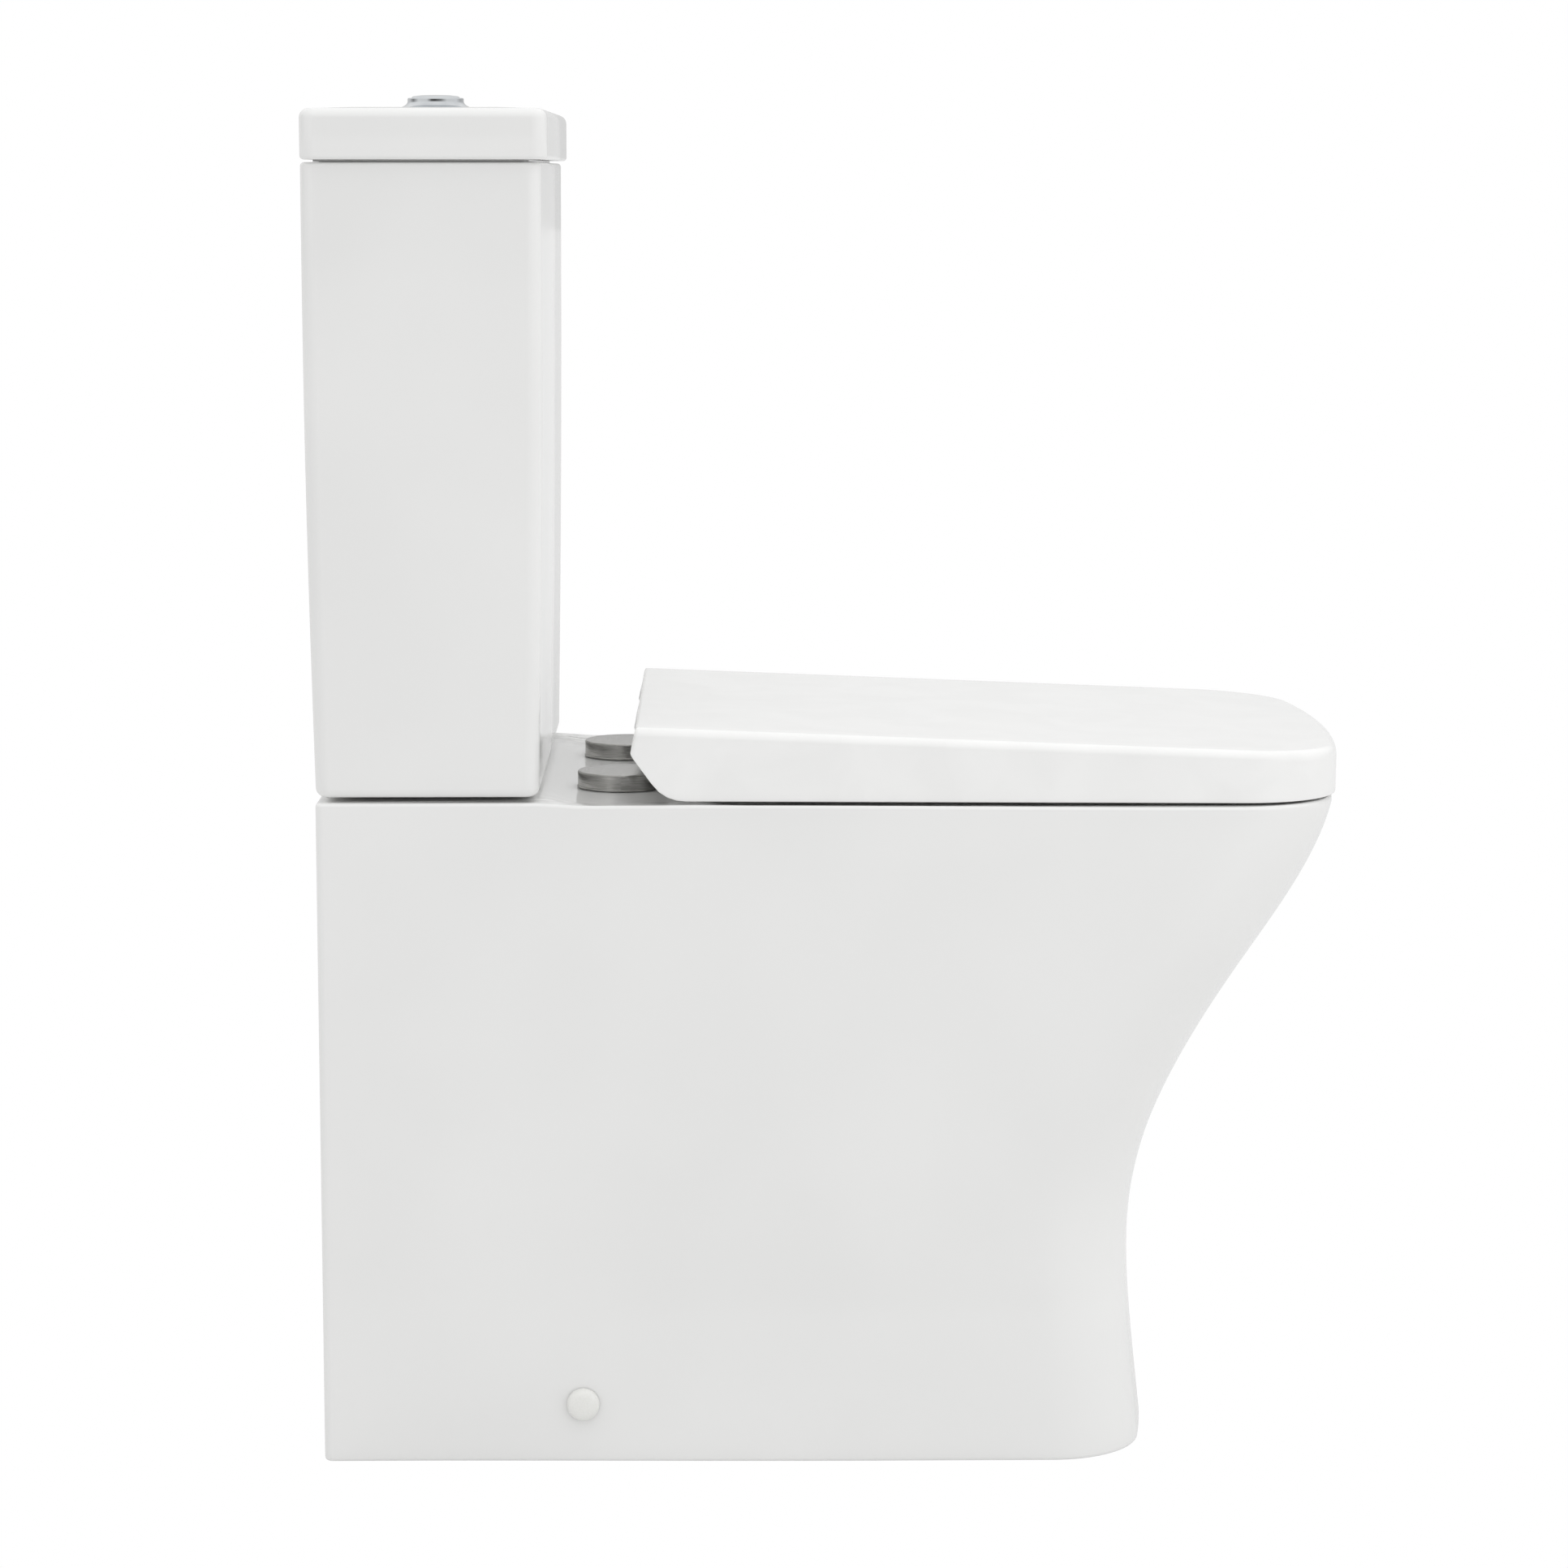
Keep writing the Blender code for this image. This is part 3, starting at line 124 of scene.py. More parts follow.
def turned(profile, centre, sides=96, axis="Z"):
    mesh = bmesh.new()
    rows = []
    for radius, height in profile:
        if radius < 1e-6:
            rows.append([mesh.verts.new((0, 0, height))] * sides)
            continue
        angles = [2 * math.pi * i / sides for i in range(sides)]
        rows.append([mesh.verts.new((radius * math.cos(a), radius * math.sin(a), height)) for a in angles])
    pairs = list(zip(rows, rows[1:]))
    if rows[0][0] is not rows[0][1] or rows[-1][0] is not rows[-1][1]:
        pairs.append((rows[-1], rows[0]))
    for low, high in pairs:
        for i in range(sides):
            j = (i + 1) % sides
            corners = list(dict.fromkeys((low[i], low[j], high[j], high[i])))
            if len(corners) > 2:
                mesh.faces.new(corners)
    if axis == "X":
        mesh.transform(Matrix.Rotation(math.pi / 2, 4, "Y"))
    if axis == "Y":
        mesh.transform(Matrix.Rotation(-math.pi / 2, 4, "X"))
    mesh.transform(Matrix.Translation(centre))
    return mesh


def rod(radius, low, high, centre, sides=48, axis="Z"):
    return turned([(0, low), (radius, low), (radius, high), (0, high)], centre, sides, axis)


def box(low, high):  # corners as (x, forward, z)
    mesh = bmesh.new()
    bmesh.ops.create_cube(mesh, size=1)
    a, b = at(*low), at(*high)
    size = [abs(b[i] - a[i]) for i in range(3)]
    mesh.transform(Matrix.Translation((a + b) / 2) @ Matrix.Diagonal((*size, 1)))
    return mesh


def upright(shape, heights):  # one plan outline, the same at each height
    return skin([[at(x, d, z) for x, d in shape] for z in heights])


def middleOf(name):
    low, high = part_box(name)
    return (low + high) / 2


def sidePrism(points, xLow, xHigh):
    return skin([[at(x, d, z) for d, z in points] for x in (xLow, xHigh)])


def tubeAlong(points, radius, sides=36, fine=8):  # points are (forward, z) in the middle plane
    route = []
    for i in range(len(points) - 1):
        a, b = points[max(i - 1, 0)], points[i]
        c, e = points[i + 1], points[min(i + 2, len(points) - 1)]
        for s in [k / fine for k in range(fine)]:
            route.append([
                0.5 * (2 * b[n] + (c[n] - a[n]) * s + (2 * a[n] - 5 * b[n] + 4 * c[n] - e[n]) * s * s
                       + (3 * b[n] - a[n] - 3 * c[n] + e[n]) * s**3)
                for n in (0, 1)
            ])
    route.append(points[-1])
    rings = []
    for i, (d, z) in enumerate(route):
        before, after = route[max(i - 1, 0)], route[min(i + 1, len(route) - 1)]
        if i == len(route) - 1:  # the end is cut square to the last run
            before, after = points[-2:]
        along = Vector((after[0] - before[0], after[1] - before[1])).normalized()
        across = Vector((-along.y, along.x))
        angles = [2 * math.pi * k / sides for k in range(sides)]
        rings.append([
            at(radius * math.cos(a),
               d + across.x * radius * math.sin(a),
               z + across.y * radius * math.sin(a))
            for a in angles
        ])
    return skin(rings)


def mirrored(mesh):
    bmesh.ops.scale(mesh, vec=(-1, 1, 1), verts=mesh.verts)
    return mesh


def newObject(name, mesh):
    bmesh.ops.recalc_face_normals(mesh, faces=mesh.faces)
    data = bpy.data.meshes.new(name)
    mesh.to_mesh(data)
    mesh.free()
    obj = bpy.data.objects.new(name, data)
    bpy.context.scene.collection.objects.link(obj)
    return obj


def carve(base, meshes, operation="DIFFERENCE"):  # boolean with each mesh in turn
    for mesh in meshes:
        tool = mesh if isinstance(mesh, bpy.types.Object) else newObject("tool", mesh)
        modifier = base.modifiers.new("carve", "BOOLEAN")
        modifier.operation = operation
        modifier.solver = "MANIFOLD"
        modifier.object = tool
        bpy.context.view_layer.update()
        result = bpy.data.meshes.new_from_object(base.evaluated_get(bpy.context.evaluated_depsgraph_get()))
        base.modifiers.clear()
        base.data = result
        bpy.data.objects.remove(tool, do_unlink=True)
    return base


def finishPiece(obj, material, body, nodes=(), sharp=32):
    obj.data.shade_smooth()
    obj.data.set_sharp_from_angle(angle=math.radians(sharp))
    obj.data.materials.clear()
    obj.data.materials.append(material)
    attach(obj, body)
    if nodes:
        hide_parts(*nodes)
    return obj


# materials
def linear(hexCode):
    values = [int(hexCode[i:i + 2], 16) / 255 for i in (1, 3, 5)]
    return [v / 12.92 if v <= 0.04045 else ((v + 0.055) / 1.055) ** 2.4 for v in values] + [1.0]


def addNode(tree, kind, settings=None, inputs=None):
    node = tree.nodes.new(kind)
    for key, value in (settings or {}).items():
        setattr(node, key, value)
    for key, value in (inputs or {}).items():
        if isinstance(value, bpy.types.NodeSocket):
            tree.links.new(value, node.inputs[key])
        else:
            node.inputs[key].default_value = value
    return node


def newMaterial(name, roughness, ior=None, metallic=0.0):
    material = bpy.data.materials.new(name)
    material.use_nodes = True
    tree = material.node_tree
    shader = tree.nodes["Principled BSDF"]
    shader.inputs["Roughness"].default_value = roughness
    shader.inputs["Metallic"].default_value = metallic
    if ior:
        shader.inputs["IOR"].default_value = ior
    place = addNode(tree, "ShaderNodeTexCoord").outputs["Object"]  # metres, fixed to the piece
    return material, tree, shader, place


def perMetre(millimetres):  # texture scale that gives features of that size
    return 1000.0 / millimetres


def addNoise(tree, place, millimetres, **more):
    inputs = {"Vector": place, "Scale": perMetre(millimetres), **more}
    return addNode(tree, "ShaderNodeTexNoise", inputs=inputs)


def addMath(tree, operation, *values):
    return addNode(tree, "ShaderNodeMath", {"operation": operation}, dict(enumerate(values))).outputs[0]


def twoTone(tree, shader, factor, colours, low=0.35, high=0.65):
    ramp = addNode(tree, "ShaderNodeValToRGB", inputs={"Fac": factor})
    for element, place, colour in zip(ramp.color_ramp.elements, (low, high), colours):
        element.position = place
        element.color = linear(colour)
    tree.links.new(ramp.outputs["Color"], shader.inputs["Base Color"])


def addBump(tree, shader, height, strength, distance, below=None):  # below: a coarser bump under this one
    inputs = {"Height": height, "Strength": strength, "Distance": distance}
    if below is not None:
        inputs["Normal"] = below
    normal = addNode(tree, "ShaderNodeBump", inputs=inputs).outputs["Normal"]
    tree.links.new(normal, shader.inputs["Normal"])
    return normal


# vitreous china, slip cast, sprayed with opaque white glaze and fired: deep even gloss on a surface
# that is very slightly wavy, with a little orange peel and a tone that drifts with glaze thickness
chinaLook = {
    "thick": "#F1F1F0", "thin": "#EEEEED", "driftMm": 160, "roughness": 0.10, "ior": 1.52,
    "waveMm": 70, "waveHeight": 0.00022, "peelMm": 3.2, "peelHeight": 0.000006,
}
china, tree, shader, place = newMaterial("glazedVitreousChina", chinaLook["roughness"], chinaLook["ior"])
drift = addNoise(tree, place, chinaLook["driftMm"])
twoTone(tree, shader, drift.outputs["Fac"], (chinaLook["thin"], chinaLook["thick"]))
wave = addNoise(tree, place, chinaLook["waveMm"], Detail=0.0)
peel = addNoise(tree, place, chinaLook["peelMm"], Detail=1.0)
waves = addBump(tree, shader, wave.outputs["Fac"], 1.0, chinaLook["waveHeight"])
addBump(tree, shader, peel.outputs["Fac"], 1.0, chinaLook["peelHeight"], waves)

# duroplast (urea thermoset), hot pressed in a polished mould: cleaner white than the china, with a
# softer sheen, and a faint flow pattern under the surface
duroplastLook = {
    "light": "#F7F7F6", "dark": "#F4F4F3", "flowMm": 45, "roughness": 0.24, "ior": 1.55,
    "grainMm": 1.2, "grainHeight": 0.000004,
}
duroplast, tree, shader, place = newMaterial(
    "pressedDuroplast", duroplastLook["roughness"], duroplastLook["ior"])
flow = addNoise(tree, place, duroplastLook["flowMm"], Distortion=0.6)
twoTone(tree, shader, flow.outputs["Fac"], (duroplastLook["dark"], duroplastLook["light"]))
grain = addNoise(tree, place, duroplastLook["grainMm"])
addBump(tree, shader, grain.outputs["Fac"], 1.0, duroplastLook["grainHeight"])

# stainless steel, deep drawn and brushed on a lathe: grey, with fine rings round the cap's middle
# that spread its highlights; the lines are 0.5 mm apart, coarser than real, so that they show
steelLook = {
    "light": "#BEBDBA", "dark": "#979693", "roughness": 0.26, "lineMm": 0.5, "lineHeight": 0.00003,
    "alongLine": 0.0012,  # how little the pattern changes along a line, per radian
}
brushedSteel, tree, shader, place = newMaterial("brushedStainless", steelLook["roughness"], metallic=1.0)
parts = addNode(tree, "ShaderNodeSeparateXYZ", inputs={"Vector": place})
squares = [addMath(tree, "MULTIPLY", parts.outputs[k], parts.outputs[k]) for k in ("X", "Y")]
radius = addMath(tree, "SQRT", addMath(tree, "ADD", *squares))
angle = addMath(tree, "ARCTAN2", parts.outputs["Y"], parts.outputs["X"])
slowTurn = addMath(tree, "MULTIPLY", angle, steelLook["alongLine"])
around = addNode(tree, "ShaderNodeCombineXYZ", inputs={
    "X": radius, "Y": slowTurn, "Z": parts.outputs["Z"]})
lines = addNoise(tree, around.outputs["Vector"], steelLook["lineMm"], Detail=3.0)
twoTone(tree, shader, lines.outputs["Fac"], (steelLook["dark"], steelLook["light"]), 0.3, 0.7)
addBump(tree, shader, lines.outputs["Fac"], 0.35, steelLook["lineHeight"])

# ABS, moulded, copper and nickel underplate, bright chromium on top: mirror bright, a touch of
# moulding waviness
chromeLook = {"bright": "#D2D5D7", "soft": "#C9CCCF", "roughness": 0.04, "waveMm": 9, "waveHeight": 0.00003}
chrome, tree, shader, place = newMaterial("platedChrome", chromeLook["roughness"], metallic=1.0)
wave = addNoise(tree, place, chromeLook["waveMm"])
twoTone(tree, shader, wave.outputs["Fac"], (chromeLook["soft"], chromeLook["bright"]))
addBump(tree, shader, wave.outputs["Fac"], 0.5, chromeLook["waveHeight"])

# plainer stock inside the cistern and under the pan; one row each, made by the loop below
# light, dark: the two tones; sizeMm and height: the surface grain; cell: sharp crystals or pores
stockLooks = {
    "zincPlatedSteel": {  # electroplated and passivated: dull silver, patchy crystals
        "light": "#C3C3BE", "dark": "#A3A39C", "roughness": 0.38, "metallic": 1.0, "ior": None,
        "sizeMm": 2.5, "height": 0.00003, "cell": True},
    "epdmRubber": {  # compression moulded: black, matt, with a fine bloom
        "light": "#262625", "dark": "#191918", "roughness": 0.78, "metallic": 0.0, "ior": 1.52,
        "sizeMm": 1.5, "height": 0.00003, "cell": False},
    "foamRubber": {  # closed cell foam, die cut: dead matt with open pores on the cut faces
        "light": "#32312E", "dark": "#171716", "roughness": 0.95, "metallic": 0.0, "ior": 1.5,
        "sizeMm": 1.6, "height": 0.0004, "cell": True},
    "mouldedAbsWhite": {  # injection moulded in an eroded tool: white, low sheen, fine texture
        "light": "#F2F2EF", "dark": "#ECECE8", "roughness": 0.34, "metallic": 0.0, "ior": 1.53,
        "sizeMm": 1.0, "height": 0.00002, "cell": False},
    "mouldedAbsGrey": {
        "light": "#8A8D90", "dark": "#7F8285", "roughness": 0.42, "metallic": 0.0, "ior": 1.53,
        "sizeMm": 1.0, "height": 0.00003, "cell": False},
    "mouldedPolypropyleneBlue": {  # waxy sheen, slightly cloudy colour
        "light": "#2F5C96", "dark": "#27508A", "roughness": 0.45, "metallic": 0.0, "ior": 1.49,
        "sizeMm": 6.0, "height": 0.00003, "cell": False},
    "softBufferTpe": {  # moulded elastomer pads: milky grey, matt, skin-like
        "light": "#DEDDD9", "dark": "#D2D1CC", "roughness": 0.62, "metallic": 0.0, "ior": 1.5,
        "sizeMm": 0.9, "height": 0.00003, "cell": False},
}
stock = {}
for name, look in stockLooks.items():
    material, tree, shader, place = newMaterial(name, look["roughness"], look["ior"], look["metallic"])
    if look["cell"]:
        scale = perMetre(look["sizeMm"])
        grain = addNode(tree, "ShaderNodeTexVoronoi", inputs={"Vector": place, "Scale": scale})
        height = grain.outputs["Distance"]
    else:
        height = addNoise(tree, place, look["sizeMm"]).outputs["Fac"]
    twoTone(tree, shader, height, (look["dark"], look["light"]), 0.25, 0.75)
    addBump(tree, shader, height, 0.6, look["height"])
    stock[name] = material
print("materials made:", len(bpy.data.materials))

# CAD nodes that keep their shape take the finish of their slot
slotFinish = {
    "glazed_ceramic": china, "seat_plastic": duroplast, "brushed_steel": brushedSteel, "chrome": chrome,
    "zinc_steel": stock["zincPlatedSteel"], "black_rubber": stock["epdmRubber"],
    "foam_rubber": stock["foamRubber"], "white_abs": stock["mouldedAbsWhite"],
    "grey_abs": stock["mouldedAbsGrey"], "blue_abs": stock["mouldedPolypropyleneBlue"],
    "seat_buffer": stock["softBufferTpe"],
}
nodeSlot = {s["node"]: s["material_slot"] for s in frame["record"]["subparts"]}
for name, node in frame["nodes"].items():
    node.data.materials.clear()
    node.data.materials.append(slotFinish[nodeSlot[name]])
    node.data.shade_smooth()
    node.data.set_sharp_from_angle(angle=math.radians(35))

# pan
pan = {
    "half": 0.173, "tip": wallY - panLow.y, "deckZ": 0.4150, "platformZ": panHigh.z, "platformD": 0.140,
    "baseTip": 0.5255, "waistTip": 0.5160, "waistZ": 0.120, "flare": 0.004, "draw": 0.006,
    "rimCorner": 0.070, "baseCorner": 0.058, "crown": 0.860, "rearEdge": 0.005,
    "edgeRadius": 0.0024,  # top edge all round
    "footRadius": 0.0025,
    # height of the outer edge: level with the cistern's seat, a little lower along the rim
    "edgeHeights": [(0.000, 0.4183), (0.136, 0.4183), (0.164, 0.4166), (0.250, 0.4170),
                    (0.560, 0.4150), (0.700, 0.4150)],
    "bankWidths": [(0.150, 0.078), (0.185, 0.056), (0.220, 0.038), (0.270, 0.013)],
    "wall": 0.012, "deckThick": 0.0125, "boltHole": 0.006, "inletNutHole": 0.022, "screwHole": 0.0035,
}
bowl = {
    "half": 0.128, "rear": 0.262, "front": 0.606, "sumpHalf": 0.043, "sumpRear": 0.282, "sumpFront": 0.370,
    "sumpZ": 0.095, "wall": 0.011, "roll": 0.009,
    "trapBore": 0.037, "trapWall": 0.010, "weirZ": 0.213, "outletZ": 0.180, "outletD": 0.012,
    "flushD": 0.068, "socket": 0.0465, "socketDepth": 0.0265, "inletBore": 0.025, "inletWall": 0.008,
}
tipCurve = [  # height, distance forward, slope
    (0.0, pan["baseTip"], -0.10),
    (pan["waistZ"], pan["waistTip"], 0.0),
    (pan["waistZ"] + 0.095, pan["waistTip"] + 0.0170, 0.41),
    (pan["deckZ"] - 0.095, pan["waistTip"] + 0.0780, 0.700),
    (pan["deckZ"] - 0.004, pan["tip"], 0.24),
]
sideCurve = [
    (0.0, pan["flare"], -0.035),
    (pan["deckZ"] - 0.115, -pan["draw"], 0.0),
    (pan["deckZ"] - 0.008, -0.0005, 0.05),
]


def panSide(forward, z):
    return pan["half"] + curveThrough(sideCurve, z) * smooth((forward - 0.04) / 0.30)


def panOutline(z, inset=0.0, rear=0.0):
    corner = pan["baseCorner"] + (pan["rimCorner"] - pan["baseCorner"]) * smooth(z / pan["deckZ"])
    tip = curveThrough(tipCurve, z) - inset
    half = pan["half"] - inset
    rearRadius = max(pan["rearEdge"] - inset, 0.0015)
    points = outline(half, rear, tip, rearRadius, corner - inset * 0.6, pan["crown"])
    bent = []
    for x, d in points:
        share = min(abs(x) / half, 1.0)
        bent.append((x + math.copysign((panSide(d, z) - pan["half"]) * share, x) if x else x, d))
    return bent


def bowlOutline(t, extra=0.0):
    ease = smooth(t * 0.96 + 0.04)
    half = bowl["half"] + (bowl["sumpHalf"] - bowl["half"]) * ease + extra
    rear = bowl["rear"] + (bowl["sumpRear"] - bowl["rear"]) * ease - extra
    front = bowl["front"] + (bowl["sumpFront"] - bowl["front"]) * smooth(t**0.9) + extra
    corner = min(half * 0.93, (front - rear) * 0.47)
    return outline(half, rear, front, corner * 0.9, corner, half * 1.12)


def between(places, forward):  # softly from one (forward, value) pair to the next
    if forward <= places[0][0]:
        return places[0][1]
    for (d0, v0), (d1, v1) in zip(places, places[1:]):
        if forward <= d1:
            return v0 + (v1 - v0) * smooth((forward - d0) / (d1 - d0))
    return places[-1][1]


def deckHeight(forward, inset):
    flat = pan["deckZ"] + (pan["platformZ"] - pan["deckZ"]) * (
        1 - smooth((forward - pan["platformD"] + 0.002) / 0.020))
    share = max(1 - inset / between(pan["bankWidths"], forward), 0)
    soft = 0.12  # the bank starts with a short bend, then runs straight to the edge
    rise = share**2 / (2 * soft) if share < soft else share - soft / 2
    return flat + (between(pan["edgeHeights"], forward) - flat) * rise / (1 - soft / 2)


def buildPan():
    rings = []
    foot, edge = pan["footRadius"], pan["edgeRadius"]
    for a in range(0, 91, 18):  # rounded foot
        inset = foot * (1 - math.sin(math.radians(a)))
        z = foot * (1 - math.cos(math.radians(a)))
        rings.append([at(x, d, z) for x, d in panOutline(z, inset, inset)])
    top = pan["deckZ"] - edge
    heights = [foot + (top - 0.002 - foot) * i / 64 for i in range(1, 65)]
    for z in heights:
        rings.append([at(x, d, z) for x, d in panOutline(z)])
    full = panOutline(top)
    for a in range(0, 91, 10):  # rounded top edge, which follows the deck up onto the platform
        inset = edge * (1 - math.cos(math.radians(a)))
        drop = edge * (1 - math.sin(math.radians(a)))
        points = panOutline(top, inset, min(inset, 0.004))
        rings.append([at(x, d, deckHeight(e, inset) - drop) for (x, d), (_, e) in zip(points, full)])
    lip = panOutline(top, edge, 0.004)
    start = (bowl["roll"] + 0.012) / (pan["deckZ"] + 0.012 - bowl["sumpZ"])
    mouth = bowlOutline(start, bowl["roll"])
    for k in range(1, 81):  # across the deck to the mouth of the bowl
        t = (k / 80) ** 1.5
        ring = []
        for (x0, d0), (x1, d1), (xf, df) in zip(lip, mouth, full):
            x, d = x0 + (x1 - x0) * t, d0 + (d1 - d0) * t
            ring.append(at(x, d, deckHeight(d, abs(xf) - abs(x) if df > 0.01 else 1.0)))
        rings.append(ring)
    for a in range(10, 91, 10):  # rolled inner edge
        out = bowl["roll"] * (1 - math.sin(math.radians(a)))
        z = pan["deckZ"] - bowl["roll"] * (1 - math.cos(math.radians(a)))
        rings.append([at(x, d, z) for x, d in bowlOutline(start, out)])
    for k in range(1, 49):
        t = start + (1 - start) * k / 48
        z = pan["deckZ"] + 0.012 - (pan["deckZ"] + 0.012 - bowl["sumpZ"]) * t
        rings.append([at(x, d, z) for x, d in bowlOutline(t)])
    rings.append([at(x, d, bowl["sumpZ"] - 0.002) for x, d in bowlOutline(1.0, -0.004)])
    shell = newObject("pan_china", skin(rings))

    # the space under the skirt
    ceiling = pan["deckZ"] - pan["deckThick"]
    levels = [-0.01] + [pan["waistZ"] * i / 6 for i in range(1, 7)]
    levels += [pan["waistZ"] + (ceiling - pan["waistZ"]) * i / 24 for i in range(1, 25)]
    inner = [[at(x, d, z) for x, d in panOutline(max(z, 0.0), pan["wall"], -0.02)] for z in levels]
    hollow = newObject("hollow", skin(inner))
    wallRings = []
    for k in range(25):
        t = k / 24
        z = pan["deckZ"] + 0.012 - (pan["deckZ"] + 0.012 - bowl["sumpZ"] + bowl["wall"]) * t
        wallRings.append([at(x, d, z) for x, d in bowlOutline(t, bowl["wall"])])
    low = bowl["sumpZ"] - 0.020
    route = [(1.20, bowl["sumpZ"] + 0.055), (1.12, low + 0.030), (1.01, low + 0.006), (0.88, low),
             (0.75, low + 0.011), (0.65, low + 0.047), (0.58, low + 0.091), (0.50, bowl["weirZ"] - 0.012),
             (0.385, bowl["weirZ"]), (0.275, bowl["weirZ"] - 0.008), (0.18, bowl["outletZ"] + 0.009),
             (0.09, bowl["outletZ"]), (0.0, bowl["outletZ"])]
    trap = [(bowl["outletD"] + (bowl["sumpRear"] - bowl["outletD"]) * s, z) for s, z in route]
    inletZ = pan["deckZ"] - 0.050

    def inlet(radius, top, end):
        drop = rod(radius, inletZ - radius, top, at(0, bowl["flushD"], 0))
        run = rod(radius * 0.985, bowl["flushD"] - end, 0.0, at(0, bowl["flushD"], inletZ), axis="Y")
        return carve(newObject("inlet", drop), [run], "UNION")

    boss = rod(bowl["socket"] + 0.009, pan["deckZ"] - 0.036, pan["deckZ"] - 0.005, at(0, bowl["flushD"], 0))
    carve(hollow, [
        boss, skin(wallRings),
        inlet(bowl["inletBore"] + bowl["inletWall"], pan["deckZ"] - 0.010, bowl["rear"] + 0.002),
        tubeAlong(trap, bowl["trapBore"] + bowl["trapWall"]),
    ])
    carve(shell, [hollow])
    cuts = [tubeAlong(trap[:-1] + [(bowl["outletD"] - 0.03, bowl["outletZ"])], bowl["trapBore"])]
    cuts.append(inlet(bowl["inletBore"], pan["deckZ"] - 0.004, bowl["rear"] + 0.025))
    cuts.append(rod(bowl["socket"], pan["platformZ"] - bowl["socketDepth"], pan["platformZ"] + 0.01,
                    at(0, bowl["flushD"], 0), 96))
    holes = {name: pan["boltHole"] for name in ("coupling_bolt_left", "coupling_bolt_right",
                                                "hinge_stud_left", "hinge_stud_right")}
    holes["inlet_back_nut"] = pan["inletNutHole"]
    for name, radius in holes.items():
        middle = middleOf(name)
        sides = 48 if name == "inlet_back_nut" else 32
        foot = Vector((middle.x, middle.y, 0))
        cuts.append(rod(radius, pan["deckZ"] - 0.05, pan["deckZ"] + 0.02, foot, sides))
    for name in ("side_fixing_screw_left", "side_fixing_screw_right"):
        middle = middleOf(name)
        reach = math.copysign(pan["half"], middle.x)
        low, high = min(reach - 0.043, reach + 0.027), max(reach - 0.027, reach + 0.043)
        cuts.append(rod(pan["screwHole"], low, high, Vector((0, middle.y, middle.z)), 32, "X"))
    return carve(shell, cuts)


panShell = finishPiece(buildPan(), china, "root", ["pan"])
print("pan built:", len(panShell.data.polygons), "faces")


# cistern and lid
def roundedRectangle(half, rear, front, radius, inset=0.0, steps=10):
    r = max(radius - inset, 0.0006)
    half, rear, front = half - inset, rear + inset, front - inset
    right = arc((half - r, rear + r), r, -90, 0, steps) + arc((half - r, front - r), r, 0, 90, steps)
    return right + [(-x, d) for x, d in reversed(right)]


cistern = {
    "half": (cisternHigh.x - cisternLow.x) / 2, "low": cisternLow.z, "high": cisternHigh.z,
    "footFront": 0.138, "spread": 0.004, "corner": 0.0095, "footRadius": 0.006, "topRadius": 0.0024,
    "wall": 0.009, "innerCorner": 0.020, "floor": 0.012,
    "flushHole": 0.031, "boltHole": 0.006, "fillHole": 0.011,
    "rearBow": 0.0014,
    "bulge": 0.0008,  # fired china is never quite flat: the faces stand out this much mid height
}


def cisternFaces(z):
    share = (z - cistern["low"]) / (cistern["high"] - cistern["low"])
    sag = cistern["rearBow"] * math.sin(math.pi * min(max(share, 0), 1))
    return -cistern["spread"] * share - sag, cistern["footFront"] + cistern["spread"] * share


def buildCistern():
    rings = []
    low, high = cistern["low"], cistern["high"]
    levels = []
    for a in range(0, 91, 15):
        turn = math.radians(a)
        levels.append((low + cistern["footRadius"] * (1 - math.cos(turn)),
                       cistern["footRadius"] * (1 - math.sin(turn))))
    levels += [(low + (high - low) * i / 24, 0.0) for i in range(1, 24)]
    for a in range(0, 91, 15):
        turn = math.radians(a)
        levels.append((high - cistern["topRadius"] * (1 - math.sin(turn)),
                       cistern["topRadius"] * (1 - math.cos(turn))))
    for z, inset in levels:
        rear, front = cisternFaces(z)
        swell = cistern["bulge"] * math.sin(math.pi * (z - low) / (high - low))
        points = roundedRectangle(cistern["half"] + swell - cistern["bulge"], rear, front + swell,
                                  cistern["corner"], inset)
        rings.append([at(x, d, z) for x, d in points])
    body = newObject("cistern_china", skin(rings))
    inside = []
    for z in (low + cistern["floor"], low + cistern["floor"] + 0.002, high + 0.01):
        rear, front = cisternFaces(z)
        inset = cistern["wall"] + (0.002 if z == low + cistern["floor"] else 0.0)
        shape = roundedRectangle(cistern["half"], rear, front, cistern["innerCorner"], inset)
        inside.append([at(x, d, z) for x, d in shape])
    cuts = [skin(inside)]
    holes = {
        "flush_valve_base": cistern["flushHole"], "inlet_washer": cistern["fillHole"],
        "coupling_bolt_left": cistern["boltHole"], "coupling_bolt_right": cistern["boltHole"],
    }
    for name, radius in holes.items():
        a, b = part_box(name)
        cuts.append(rod(radius, low - 0.01, low + 0.03, Vector(((a.x + b.x) / 2, (a.y + b.y) / 2, 0))))
    return carve(body, cuts)


finishPiece(buildCistern(), china, "root", ["cistern"])

lid = {
    "half": (lidHigh.x - lidLow.x) / 2, "low": cistern["high"] + 0.0016, "high": lidHigh.z,
    "overhang": 0.0038, "corner": 0.0100, "lowRadius": 0.0024, "topRadius": 0.0058,
    "crown": 0.0010,  # the top is a little domed so that water runs off
    "rest": 0.0075, "restCorner": 0.012, "gap": 0.0003, "topThick": 0.008, "plug": 0.007,
    "plugPlay": 0.0015, "rib": 0.004, "hole": 0.0205,
}


